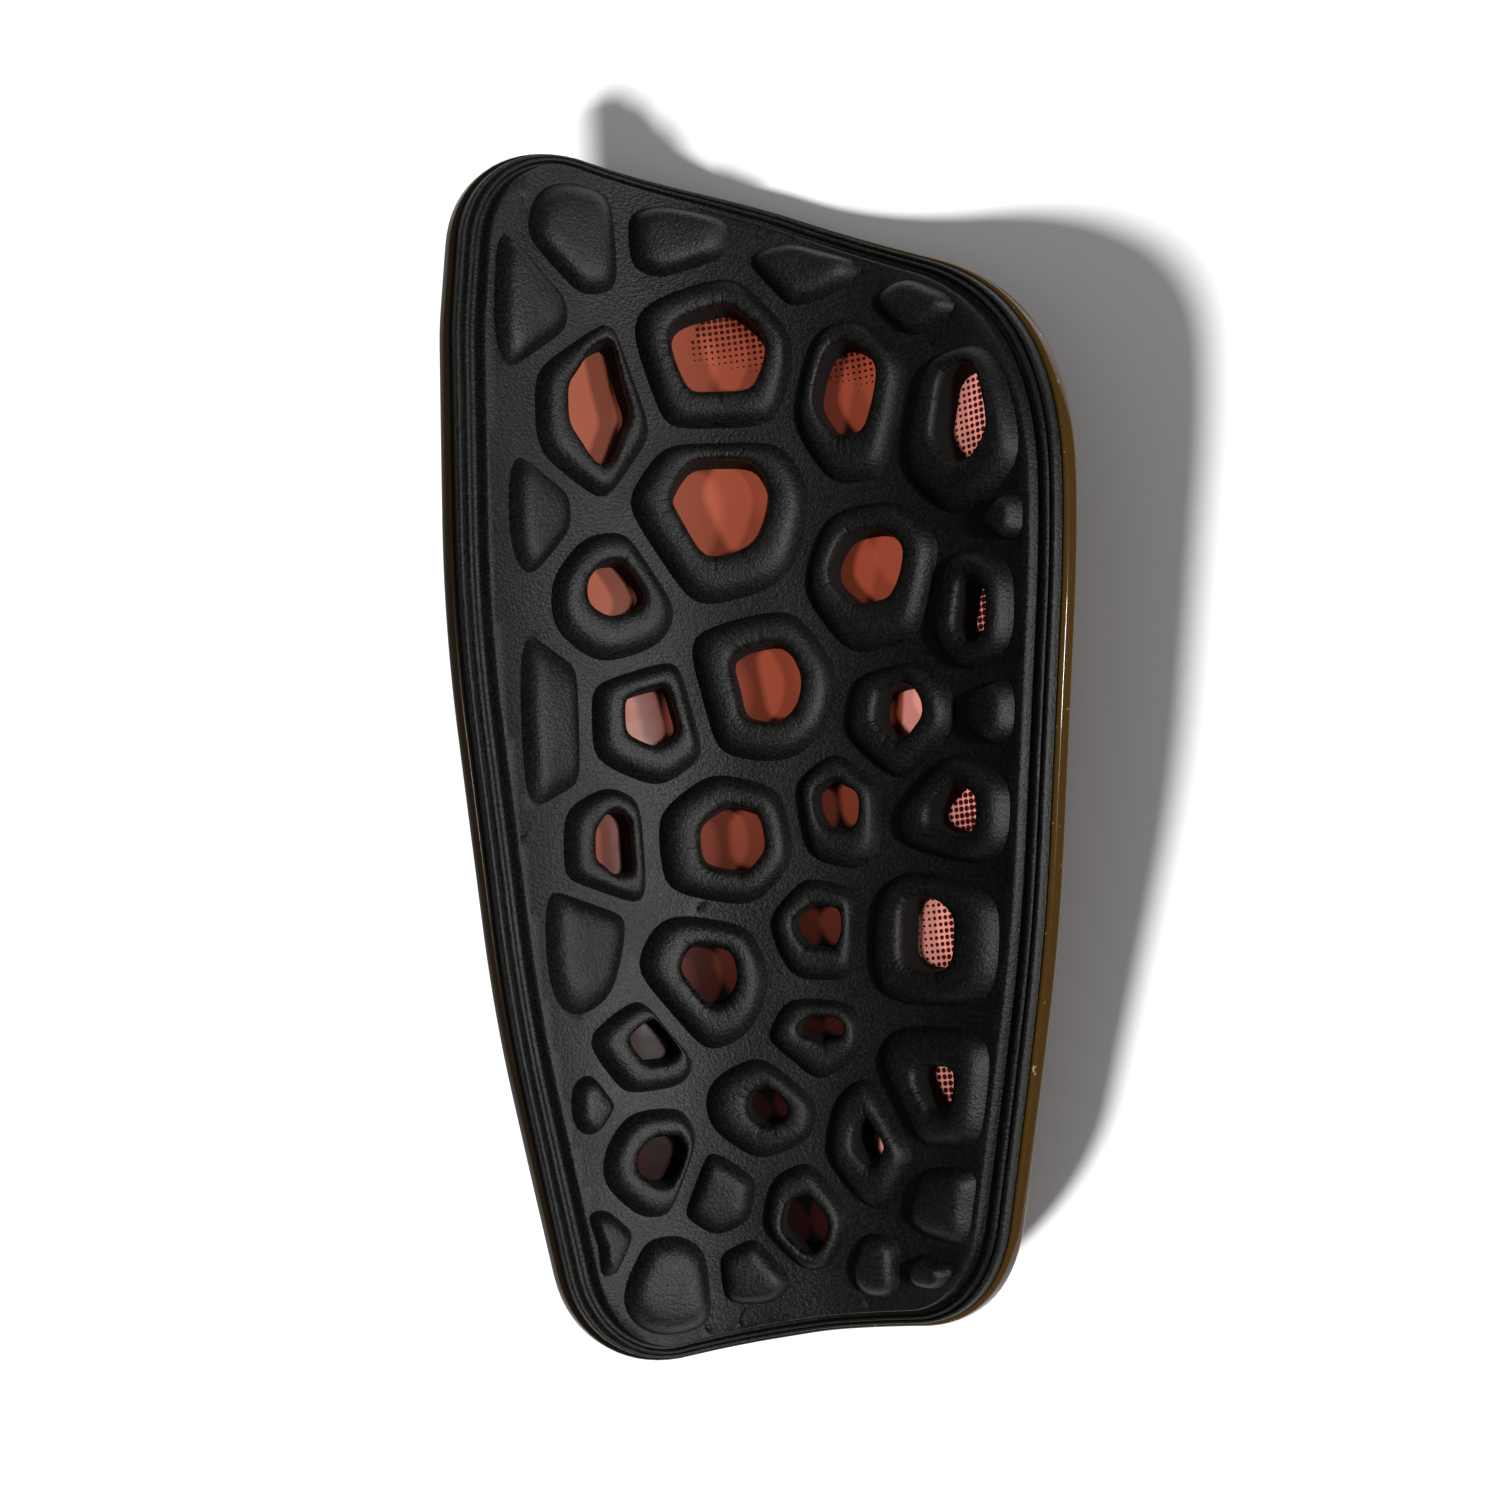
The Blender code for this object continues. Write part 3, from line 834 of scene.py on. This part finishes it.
@dataclass(frozen=True)
class PrintInk:
    """Dark screen-printed ink: a thin satin film that hides the plastic under it."""

    colour: str = "#260806"
    speck: str = "#3E120C"
    speck_mm: float = 0.8

    def material(self) -> bpy.types.Material:
        """Make the material, slightly uneven as ink is from dot to dot."""
        material, tree, shader = new_material("screen_printed_ink")
        uneven = clouds(tree, place_on_piece(tree), self.speck_mm)
        feed(tree, shader, {"Base Color": blend(tree, uneven, self.colour, self.speck),
                            "Roughness": 0.6, "Specular IOR Level": 0.2})
        return material


@dataclass(frozen=True)
class WhiteBoard:
    """Matt white card, as under a studio table-top: it shows only the shadow."""

    colour: str = "#F4F4F4"
    fibre_mm: float = 0.5
    fibre_depth_mm: float = 0.02

    def material(self) -> bpy.types.Material:
        """Make the material."""
        material, tree, shader = new_material("matt_white_card")
        fibres = clouds(tree, place_on_piece(tree), self.fibre_mm)
        feed(tree, shader, {"Base Color": linear(self.colour), "Roughness": 0.9,
                            "Specular IOR Level": 0.1,
                            "Normal": relief(tree, fibres, 0.1, self.fibre_depth_mm)})
        return material


def grid_points(form: GuardForm, edge: Sequence[Vector], holes: Sequence[Sequence[Vector]],
                spacing: float, clearance: float) -> list[Vector]:
    """Lay points over the flat guard, clear of its edge and of the holes in it.

    Args:
        form: the guard's form.
        edge: the line round the region.
        holes: lines round what the points stay out of.
        spacing: the distance between points.
        clearance: the least distance from any line.

    Returns:
        The points, in columns along the leg.
    """
    boxes = [(min(p.x for p in h) - clearance, max(p.x for p in h) + clearance,
              min(p.y for p in h) - clearance, max(p.y for p in h) + clearance, h) for h in holes]
    # More rows than half the length holds, as the corners of the edge stand past it
    columns = int(form.half_girth / spacing) + 1
    rows = int(form.half_length / spacing) + 4
    kept = []
    for column in range(-columns, columns + 1):
        for row in range(-rows, rows + 1):
            point = Vector((column * spacing, (row + column % 2 / 2) * spacing))
            if not inside(point, edge) or gap_to_line(point, edge) < clearance:
                continue
            near = [h for left, right, low, high, h in boxes
                    if left < point.x < right and low < point.y < high]
            if any(inside(point, h) or gap_to_line(point, h) < clearance for h in near):
                continue
            kept.append(point)
    return kept


@dataclass
class AmberShell:
    """Curved plate that faces the kick, with a rounded edge."""

    form: GuardForm
    wall: float = 0.0020
    edge_radius: float = 0.0005
    edge_points: int = 280
    edge_steps: int = 4
    grid_spacing: float = 0.0030
    bare_margin: float = 0.0012

    def build(self, material: bpy.types.Material, shift: Vector) -> bpy.types.Object:
        """Build the shell.

        Args:
            material: the plastic.
            shift: the move that centres the guard.

        Returns:
            The finished piece.
        """
        skin = Skin(self.form)
        edge = self.form.edge_line(self.edge_points)
        section = []
        for step in range(self.edge_steps + 1):
            turn = math.pi / 2 * step / self.edge_steps
            section.append(Step(self.edge_radius * (1 - math.sin(turn)),
                                self.edge_radius * (1 - math.cos(turn))))
        section += [Step(step.inset, self.wall - step.height) for step in reversed(section)]
        loops = []
        for step in section:
            loops.append(skin.add(inset(edge, step.inset), step.height))
            skin.mark("bare_edge", loops[-1], [1.0] * self.edge_points)
        for outer, inner in zip(loops, loops[1:]):
            skin.band(outer, inner)
        margin = inset(edge, self.bare_margin)
        grid = grid_points(self.form, margin, (), self.grid_spacing, self.grid_spacing / 3)
        faces = ((loops[0], 0.0, Facing.FRONT), (loops[-1], self.wall, Facing.LEG))
        for loop, lift, facing in faces:
            tinted = skin.add(margin, lift)
            skin.band(*((loop, tinted) if facing is Facing.LEG else (tinted, loop)))
            loose = skin.add(grid, lift)
            skin.sheet(tinted, (), loose, (), facing)
            if facing is Facing.LEG:
                seen = [*loop, *tinted, *loose]
                skin.mark("leg_side", seen, [1.0] * len(seen))
                skin.mark("bare_edge", tinted, [1.0] * len(tinted))
        return skin.make_object("shell_moulding", material, shift)


@dataclass
class FoamBack:
    """Foam against the leg: stepped rim, field, ring pads cut through to the shell, closed pads."""

    form: GuardForm
    back_lift: float = 0.0023
    margin: float = 0.0007
    thickness: float = 0.0028
    rim_side_width: float = 0.0042
    rim_end_width: float = 0.0020
    rim_narrowing: float = 1.5
    pad_rise: float = 0.0028
    channel: float = 0.0021
    pad_to_rim: float = 0.0008
    window_draft: float = 0.05
    side_sharpness: float = 10.0
    limit_squareness: float = 2.5
    limit_slack: float = 1.06
    tight_share: float = 0.5
    mouth_likeness: float = 0.95
    edge_points: int = 280
    pad_points: int = 48
    wall_steps: int = 3
    field_spacing: float = 0.0016
    field_clearance: float = 0.0005
    under_spacing: float = 0.004
    under_clearance: float = 0.001
    crease_clearance: float = 0.00035
    crease_step_mm: float = 0.4
    crease_half_width_mm: float = 0.14
    crease_bow: float = 0.12
    crease_swing: float = 3.0
    waviness: float = 0.00010
    wave_size: float = 0.011
    wrinkle_size: float = 0.0011
    wrinkle_least_radius: float = 0.002
    wrinkle_apart: float = 7.3

    def rim_line(self, foam_edge: Sequence[Vector], share: float) -> list[Vector]:
        """Step of the rim, a share of the rim's width inside the foam's edge.

        Args:
            foam_edge: the edge of the foam.
            share: how far inwards.

        Returns:
            The closed line of the step.
        """
        moved = []
        for point, way in zip(foam_edge, headings(foam_edge)):
            sideways = abs(way.y) ** self.rim_narrowing
            width = self.rim_end_width + (self.rim_side_width - self.rim_end_width) * sideways
            moved.append(point + share * width * Vector((-way.y, way.x)))
        return moved

    def own_limit(self, heading: Vector, half_width: float, half_height: float) -> float:
        """Reach of a pad's own soft rectangle in one direction, from shares of the guard."""
        across = abs(heading.x) / (half_width * self.form.half_girth)
        along = abs(heading.y) / (half_height * self.form.half_length)
        power = self.limit_squareness
        return self.limit_slack * (across ** power + along ** power) ** (-1 / power)

    def pad_reach(self, pad: Pad, heading: Vector, fence: Sequence[Vector]) -> float:
        """Find how far a pad reaches from its centre.

        Args:
            pad: the pad.
            heading: the direction.
            fence: the inner line of the rim.

        Returns:
            The reach, up to its channels, its own limits and the rim.
        """
        centre = share_point(pad, self.form)
        power = self.side_sharpness
        limit = self.own_limit(heading, pad.half_width, pad.half_height)
        rim = clear_reach(distance_to_loop(centre, heading, fence), self.pad_to_rim,
                          self.tight_share)
        crowding = limit ** -power + rim ** -power
        for other in PADS:
            gap = share_point(other, self.form) - centre
            if gap.length < SAME_PLACE:
                continue
            way = gap.normalized()
            facing = heading.dot(way)
            if facing <= 0:
                continue
            mine = self.own_limit(way, pad.half_width, pad.half_height)
            theirs = self.own_limit(way, other.half_width, other.half_height)
            meeting = gap.length * mine / (mine + theirs)
            room = clear_reach(meeting, self.channel / 2, self.tight_share)
            crowding += (facing / room) ** power
        return crowding ** (-1 / power)

    def pad_lines(self, pad: Pad, fence: Sequence[Vector]) -> tuple[list[Vector], list[Vector]]:
        """Draw a pad's foot and mouth.

        Args:
            pad: the pad.
            fence: the inner line of the rim.

        Returns:
            Two counter-clockwise lines with matching points. A closed pad's mouth is its centre.
        """
        centre = share_point(pad, self.form)
        shift = Vector((pad.mouth_right * self.form.half_girth,
                        pad.mouth_up * self.form.half_length))
        foot = []
        mouth = []
        for step in range(self.pad_points):
            angle = math.tau * step / self.pad_points
            heading = Vector((math.cos(angle), math.sin(angle)))
            reach = self.pad_reach(pad, heading, fence)
            foot.append(centre + heading * reach)
            opening = 0.0
            if pad.mouth_width:
                own = self.own_limit(heading, pad.half_width, pad.half_height)
                opening = self.own_limit(heading, pad.mouth_width, pad.mouth_height)
                opening *= (reach / own) ** self.mouth_likeness
            mouth.append(centre + shift + heading * opening)
        return foot, mouth

    def wave(self, flat: Vector) -> float:
        """Gentle unevenness of the foam's surface."""
        return self.waviness * noise.noise(Vector((flat.x, flat.y, 0.0)) / self.wave_size)

    def build_pad(self, skin: Skin, pad: Pad, number: int, fence: Sequence[Vector]
                  ) -> tuple[list[int], list[int]]:
        """Add one pad.

        Args:
            skin: the skin of the foam.
            pad: the pad.
            number: its place in the table, which sets its own wrinkles.
            fence: the inner line of the rim.

        Returns:
            The loop at its foot, and the loop where its window meets the shell, or none.
        """
        foot, mouth = self.pad_lines(pad, fence)
        top = self.back_lift + self.thickness
        middle = sum(mouth, Vector((0, 0))) / len(mouth)
        spread = sum((point - middle).length for point in mouth) / len(mouth)
        turns = max(spread, self.wrinkle_least_radius) / self.wrinkle_size
        around = []
        for step in range(self.pad_points):
            angle = math.tau * step / self.pad_points
            around.append(Vector((turns * math.cos(angle), turns * math.sin(angle),
                                  self.wrinkle_apart * number)))
        loops = []
        for step in (RING_SECTION if pad.mouth_width else CLOSED_SECTION):
            flats = [a.lerp(b, step.inset) for a, b in zip(foot, mouth)]
            lifts = [top + step.height * self.pad_rise + self.wave(flat) for flat in flats]
            loops.append(skin.add(flats, lifts))
            skin.mark("mouth", loops[-1], [step.inset if pad.mouth_width else 0.0] * len(flats))
            skin.mark("around", loops[-1], around)
        for outer, inner in zip(loops, loops[1:]):
            skin.band(outer, inner)
        if not pad.mouth_width:
            crown = skin.add([mouth[0]], [top + self.pad_rise + self.wave(middle)])
            skin.cap(loops[-1], crown[0])
            return loops[0], []
        window = [point.lerp(middle, self.window_draft) for point in mouth]
        lip = top + RING_SECTION[-1].height * self.pad_rise
        for level in range(1, self.wall_steps + 1):
            share = level / self.wall_steps
            flats = [a.lerp(b, share) for a, b in zip(mouth, window)]
            lifts = [(lip + self.wave(a)) * (1 - share) + self.back_lift * share for a in mouth]
            loops.append(skin.add(flats, lifts))
            skin.mark("mouth", loops[-1], [1.0] * len(flats))
            skin.mark("around", loops[-1], around)
            skin.band(loops[-2], loops[-1])
        return loops[0], loops[-1]

    def crease_rows(self, skin: Skin, fence: Sequence[Vector], blocked: Sequence[Sequence[Vector]]
                    ) -> tuple[list[int], list[tuple[int, int]]]:
        """Add the creases of the field, each as a narrow valley.

        Args:
            skin: the skin of the foam.
            fence: the inner line of the rim, which a crease stays inside.
            blocked: lines round what a crease stays out of.

        Returns:
            The new points, and the sides that keep each valley.
        """
        top = self.back_lift + self.thickness
        points: list[int] = []
        sides: list[tuple[int, int]] = []
        for crease in CREASES:
            middle = share_point(crease, self.form)
            turn = math.radians(crease.heading)
            way = Vector((-math.sin(turn), math.cos(turn)))
            beside = Vector((way.y, -way.x))
            count = max(3, round(crease.length / self.crease_step_mm))
            rows: list[list[int]] = [[], [], []]
            for step in range(count + 1):
                share = 2 * step / count - 1
                bow = self.crease_bow * crease.length * math.sin(self.crease_swing * share)
                flat = middle + (way * share * crease.length / 2 + beside * bow) * MILLIMETRE
                if not inside(flat, fence) or any(inside(flat, line) for line in blocked):
                    continue
                room = min(gap_to_line(flat, line) for line in (fence, *blocked))
                if room < self.crease_clearance:
                    continue
                depth = crease.depth * MILLIMETRE * (1 - share * share)
                for row, side in zip(rows, (-1, 0, 1)):
                    lift = top + self.wave(flat) - (0.0 if side else depth)
                    offset = side * self.crease_half_width_mm * MILLIMETRE
                    row += skin.add([flat + beside * offset], [lift])
            for row in rows:
                points += row
                sides += list(zip(row, row[1:]))
        return points, sides

    def build(self, material: bpy.types.Material, shift: Vector
              ) -> tuple[bpy.types.Object, list[list[Vector]]]:
        """Build the foam back.

        Args:
            material: the foam.
            shift: the move that centres the guard.

        Returns:
            The finished piece, and the lines of its windows.
        """
        skin = Skin(self.form)
        foam_edge = inset(self.form.edge_line(self.edge_points), self.margin)
        back = skin.add(foam_edge, self.back_lift)
        outer = back
        for step in RIM_SECTION:
            line = self.rim_line(foam_edge, step.inset)
            inner = skin.add(line, self.back_lift + step.height * self.thickness)
            skin.band(outer, inner)
            outer = inner
        fence = self.rim_line(foam_edge, RIM_SECTION[-1].inset)
        feet = []
        windows = []
        for number, pad in enumerate(PADS):
            foot, window = self.build_pad(skin, pad, number, fence)
            feet.append(foot)
            if window:
                windows.append(window)
        feet_lines = [[skin.flats[i] for i in foot] for foot in feet]
        window_lines = [[skin.flats[i] for i in window] for window in windows]
        creased, sides = self.crease_rows(skin, fence, feet_lines)
        valleys = [skin.flats[i] for i in creased]
        field = [flat for flat in grid_points(self.form, fence, feet_lines, self.field_spacing,
                                              self.field_clearance)
                 if all((flat - valley).length > self.field_clearance for valley in valleys)]
        top = self.back_lift + self.thickness
        loose = skin.add(field, [top + self.wave(flat) for flat in field])
        skin.sheet(outer, feet, [*loose, *creased], sides, Facing.LEG)
        under = skin.add(grid_points(self.form, foam_edge, window_lines, self.under_spacing,
                                     self.under_clearance), self.back_lift)
        skin.sheet(back, windows, under, (), Facing.FRONT)
        return skin.make_object("foam_moulding", material, shift), window_lines


@dataclass
class HalftonePrint:
    """Halftone of ink dots on the leg side of the shell, where the windows show it."""

    form: GuardForm
    lift: float = 0.00204
    pitch: float = 0.00095
    tilt: float = math.radians(5.0)
    sides: int = 12
    knee_start: float = 0.0560
    knee_lean: float = 0.20
    knee_spread: float = 0.012
    side_start: float = 0.0245
    side_lean: float = 0.10
    side_spread: float = 0.010
    smallest: float = 0.10
    largest: float = 0.50
    window_reach: float = 0.012
    grid_margin: float = 1.1

    def dot_radius(self, flat: Vector) -> float:
        """Radius of a dot as a share of the pitch: larger to the knee end and to one side."""
        knee = (flat.y + self.knee_lean * flat.x - self.knee_start) / self.knee_spread
        side = (flat.x - self.side_lean * flat.y - self.side_start) / self.side_spread
        return self.largest * max(0.0, min(1.0, max(knee, side))) ** 0.5

    def places(self, windows: Sequence[Sequence[Vector]]) -> tuple[list[Vector], list[float]]:
        """Find the dots that show.

        Args:
            windows: the lines of the foam's windows.

        Returns:
            The places of the dots in the flat drawing, and their radii.
        """
        flats = []
        radii = []
        way = Vector((math.cos(self.tilt), math.sin(self.tilt)))
        beside = Vector((-way.y, way.x))
        reach = int(self.form.half_length / self.pitch * self.grid_margin)
        for row in range(-reach, reach + 1):
            for column in range(-reach, reach + 1):
                flat = self.pitch * (column * way + row * beside)
                share = self.dot_radius(flat)
                if share < self.smallest or abs(flat.x) > self.form.half_girth:
                    continue
                if any(inside(flat, line) or gap_to_line(flat, line) < self.pitch
                       for line in windows if (line[0] - flat).length < self.window_reach):
                    flats.append(flat)
                    radii.append(share * self.pitch)
        return flats, radii

    def dot_tree(self) -> bpy.types.NodeTree:
        """Make the tree that puts a disc on each place.

        Returns:
            A tree with inputs for the number of sides and the ink.
        """
        tree = bpy.data.node_groups.new("printed_dots", "GeometryNodeTree")
        for name, kind in (("Places", "NodeSocketGeometry"), ("Sides", "NodeSocketInt"),
                           ("Ink", "NodeSocketMaterial")):
            tree.interface.new_socket(name=name, in_out="INPUT", socket_type=kind)
        tree.interface.new_socket(name="Dots", in_out="OUTPUT", socket_type="NodeSocketGeometry")
        given = add(tree, "NodeGroupInput")
        size = add(tree, "GeometryNodeInputNamedAttribute", {"Name": "dot_size"}, data_type="FLOAT")
        facing = add(tree, "GeometryNodeInputNamedAttribute", {"Name": "facing"},
                     data_type="FLOAT_VECTOR")
        disc = add(tree, "GeometryNodeMeshCircle", {
            "Vertices": given.outputs["Sides"], "Radius": 1.0}, fill_type="NGON")
        points = add(tree, "GeometryNodeMeshToPoints", {"Mesh": given.outputs["Places"]})
        turn = add(tree, "FunctionNodeAlignRotationToVector", {
            "Vector": facing.outputs["Attribute"]}, axis="Z")
        laid = add(tree, "GeometryNodeInstanceOnPoints", {
            "Points": points.outputs["Points"], "Instance": disc.outputs["Mesh"],
            "Rotation": turn.outputs["Rotation"], "Scale": size.outputs["Attribute"]})
        real = add(tree, "GeometryNodeRealizeInstances", {"Geometry": laid.outputs["Instances"]})
        inked = add(tree, "GeometryNodeSetMaterial", {
            "Geometry": real.outputs["Geometry"], "Material": given.outputs["Ink"]})
        add(tree, "NodeGroupOutput", {"Dots": inked.outputs["Geometry"]})
        return tree

    def build(self, ink: bpy.types.Material, windows: Sequence[Sequence[Vector]],
              shift: Vector) -> bpy.types.Object:
        """Print the dots.

        Args:
            ink: the material of the dots.
            windows: the lines of the foam's windows.
            shift: the move that centres the guard.

        Returns:
            The finished piece, a mesh of thin discs.
        """
        flats, radii = self.places(windows)
        mesh = bpy.data.meshes.new("halftone_print")
        mesh.from_pydata([self.form.bent(flat, self.lift) + shift for flat in flats], [], [])
        layer = mesh.attributes.new("dot_size", "FLOAT", "POINT")
        layer.data.foreach_set("value", radii)
        layer = mesh.attributes.new("facing", "FLOAT_VECTOR", "POINT")
        layer.data.foreach_set("vector", [v for flat in flats for v in self.form.facing_leg(flat)])
        made = bpy.data.objects.new("halftone_print", mesh)
        bpy.context.scene.collection.objects.link(made)
        tree = self.dot_tree()
        modifier = made.modifiers.new("dots", "NODES")
        modifier.node_group = tree
        given = {item.name: item.identifier for item in tree.interface.items_tree
                 if item.in_out == "INPUT"}
        modifier[given["Sides"]] = self.sides
        modifier[given["Ink"]] = ink
        graph = bpy.context.evaluated_depsgraph_get()
        printed = bpy.data.meshes.new_from_object(made.evaluated_get(graph))
        made.modifiers.clear()
        made.data = printed
        made.data.name = "halftone_print"
        LOG.info("halftone print: %d dots", len(flats))
        return made


SOFTBOXES = [
    Lamp("main_lamp", (0.60, 0.0, 1.0), (0.06, 0.06), 1.6, "guard", True),
    Lamp("side_softbox", (1.35, -0.50, 1.0), (0.24, 0.34), 1.0, "foam", True),
    Lamp("left_shell_lamp", (-1.48, -0.65, 1.0), (0.06, 0.06), 1.8, "plastic", False),
    Lamp("right_shell_lamp", (1.50, 0.20, 1.0), (0.06, 0.06), 2.2, "plastic", False),
    Lamp("top_shell_lamp", (-0.66, -0.12, 1.0), (0.08, 0.08), 3.0, "plastic", False),
]


@dataclass
class Studio:
    """White table, soft light from the side that the leg wall faces, and the camera."""

    shift: Vector
    camera_distance: float = 0.302
    camera_aim: tuple[float, float] = (-0.0031, -0.0014)
    camera_lean: tuple[float, float] = (7.7, -3.5)
    camera_roll: float = 1.5
    lens: float = 48.0
    sensor: float = 36.0
    world_strength: float = 0.06
    shadow_way: tuple[float, float, float] = (0.94, 1.08, -1.0)
    shadow_strength: float = 6.0
    shadow_softness: float = math.radians(9)
    fill_strength: float = 0.62
    lamp_distance: float = 0.60
    floor_half: float = 1.5
    floor_drop: float = 0.00003
    near_clip: float = 0.01

    def add_camera(self) -> bpy.types.Object:
        """Set up the camera at the photograph's angle.

        Returns:
            The camera.
        """
        aim = Vector((*self.camera_aim, 0.0)) + self.shift
        lean = Vector([math.tan(math.radians(angle)) for angle in self.camera_lean] + [1.0])
        ahead = -lean.normalized()
        right = ahead.cross(Vector((0, 1, 0))).normalized()
        up = right.cross(ahead)
        roll = math.radians(-self.camera_roll)
        rolled_right = math.cos(roll) * right + math.sin(roll) * up
        rolled_up = math.cos(roll) * up - math.sin(roll) * right
        data = bpy.data.cameras.new("camera")
        data.lens = self.lens
        data.sensor_width = self.sensor
        data.clip_start = self.near_clip
        camera = bpy.data.objects.new("camera", data)
        turned = Matrix((rolled_right, rolled_up, -ahead)).transposed().to_4x4()
        turned.translation = aim + lean * self.camera_distance
        camera.matrix_world = turned
        bpy.context.scene.collection.objects.link(camera)
        bpy.context.scene.camera = camera
        return camera

    def add_floor(self) -> bpy.types.Object:
        """Lay the white card that the guard lies on.

        Returns:
            The floor.
        """
        half = self.floor_half
        level = -self.floor_drop
        mesh = bpy.data.meshes.new("floor_card")
        mesh.from_pydata([(-half, -half, level), (half, -half, level), (half, half, level),
                          (-half, half, level)], [], [(0, 1, 2, 3)])
        mesh.materials.append(WhiteBoard().material())
        floor = bpy.data.objects.new("floor_card", mesh)
        bpy.context.scene.collection.objects.link(floor)
        return floor

    def lit(self, name: str, pieces: Sequence[bpy.types.Object]) -> bpy.types.Collection:
        """Group the things that a lamp lights.

        Args:
            name: the name of the group.
            pieces: the things in it.

        Returns:
            The group.
        """
        group = bpy.data.collections.new(name)
        for piece in pieces:
            group.objects.link(piece)
        return group

    def hang(self, data: bpy.types.Light, place: Vector, group: bpy.types.Collection
             ) -> bpy.types.Object:
        """Hang a lamp that faces the guard.

        Args:
            data: the lamp.
            place: where it hangs.
            group: what it lights.

        Returns:
            The lamp as an object.
        """
        lamp = bpy.data.objects.new(data.name, data)
        lamp.location = place
        lamp.rotation_euler = place.to_track_quat("Z", "Y").to_euler()
        bpy.context.scene.collection.objects.link(lamp)
        lamp.light_linking.receiver_collection = group
        return lamp

    def add_softbox(self, lamp: Lamp, group: bpy.types.Collection) -> bpy.types.Object:
        """Hang a soft box.

        Args:
            lamp: its values.
            group: what it lights.

        Returns:
            The lamp.
        """
        data = bpy.data.lights.new(lamp.name, "AREA")
        data.shape = "RECTANGLE"
        data.size, data.size_y = lamp.size
        data.energy = lamp.power
        hung = self.hang(data, Vector(lamp.way).normalized() * self.lamp_distance, group)
        hung.visible_glossy = lamp.glints
        return hung

    def add_sun(self, name: str, way: tuple[float, float, float], softness: float,
                strength: float, group: bpy.types.Collection) -> bpy.types.Object:
        """Hang a lamp with even light.

        Args:
            name: the name of the lamp.
            way: the direction that its light travels.
            softness: how wide it looks from the guard, as an angle.
            strength: its strength.
            group: what it lights.

        Returns:
            The lamp.
        """
        data = bpy.data.lights.new(name, "SUN")
        data.energy = strength
        data.angle = softness
        return self.hang(data, -Vector(way), group)

    def build(self, pieces: Sequence[bpy.types.Object]) -> None:
        """Build the studio round the guard.

        Args:
            pieces: the pieces of the guard.
        """
        bpy.context.scene.view_settings.view_transform = "Standard"
        self.add_camera()
        floor = self.add_floor()
        world = bpy.data.worlds.new("studio")
        world.use_nodes = True
        tree = world.node_tree
        back = tree.nodes["Background"]
        back.inputs["Color"].default_value = (1.0, 1.0, 1.0, 1.0)
        # The backdrop is seen as white, though it gives the guard only a little light
        seen = add(tree, "ShaderNodeLightPath").outputs["Is Camera Ray"]
        feed(tree, back, {"Strength": ramp(tree, seen, 0.0, 1.0, self.world_strength, 1.0,
                                           smooth=False)})
        bpy.context.scene.world = world
        table = self.lit("table", [floor])
        self.add_sun("shadow_lamp", self.shadow_way, self.shadow_softness, self.shadow_strength,
                     table)
        self.add_sun("table_fill", (0.0, 0.0, -1.0), math.pi, self.fill_strength, table)
        foam = [piece for piece in pieces if piece.name == "foam_moulding"]
        plastic = [piece for piece in pieces if piece.name != "foam_moulding"]
        groups = {"guard": self.lit("guard", pieces), "foam": self.lit("foam", foam),
                  "plastic": self.lit("plastic", plastic)}
        for lamp in SOFTBOXES:
            self.add_softbox(lamp, groups[lamp.lights])


def centring_shift(form: GuardForm, shell: AmberShell) -> Vector:
    """Find the move that puts the drawing where the CAD shell is.

    Args:
        form: the guard's form.
        shell: the shell, for its wall.

    Returns:
        The move, level with the table.
    """
    edge = form.edge_line(shell.edge_points)
    bent = [form.bent(flat, lift) for flat in edge
            for lift in (shell.edge_radius, shell.wall - shell.edge_radius)]
    low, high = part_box("shell")
    middle = (low + high) / 2
    return Vector((middle.x - (min(p.x for p in bent) + max(p.x for p in bent)) / 2,
                   middle.y - (min(p.y for p in bent) + max(p.y for p in bent)) / 2, 0.0))


def main() -> None:
    """Build the guard and its studio."""
    logging.basicConfig(level=logging.INFO, format="%(name)s: %(message)s")
    form = GuardForm()
    shell = AmberShell(form)
    foam = FoamBack(form)
    shift = centring_shift(form, shell)

    shell_piece = shell.build(TintedShell().material(), shift)
    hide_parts("shell")

    foam_piece, windows = foam.build(MouldedFoam().material(), shift)
    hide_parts("foam_back")

    print_piece = HalftonePrint(form).build(PrintInk().material(), windows, shift)

    pieces = [shell_piece, foam_piece, print_piece]
    for piece in pieces:
        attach(piece, "root")
        LOG.info("%s: %d faces", piece.name, len(piece.data.polygons))
    Studio(shift).build(pieces)


if __name__ == "__main__":
    main()
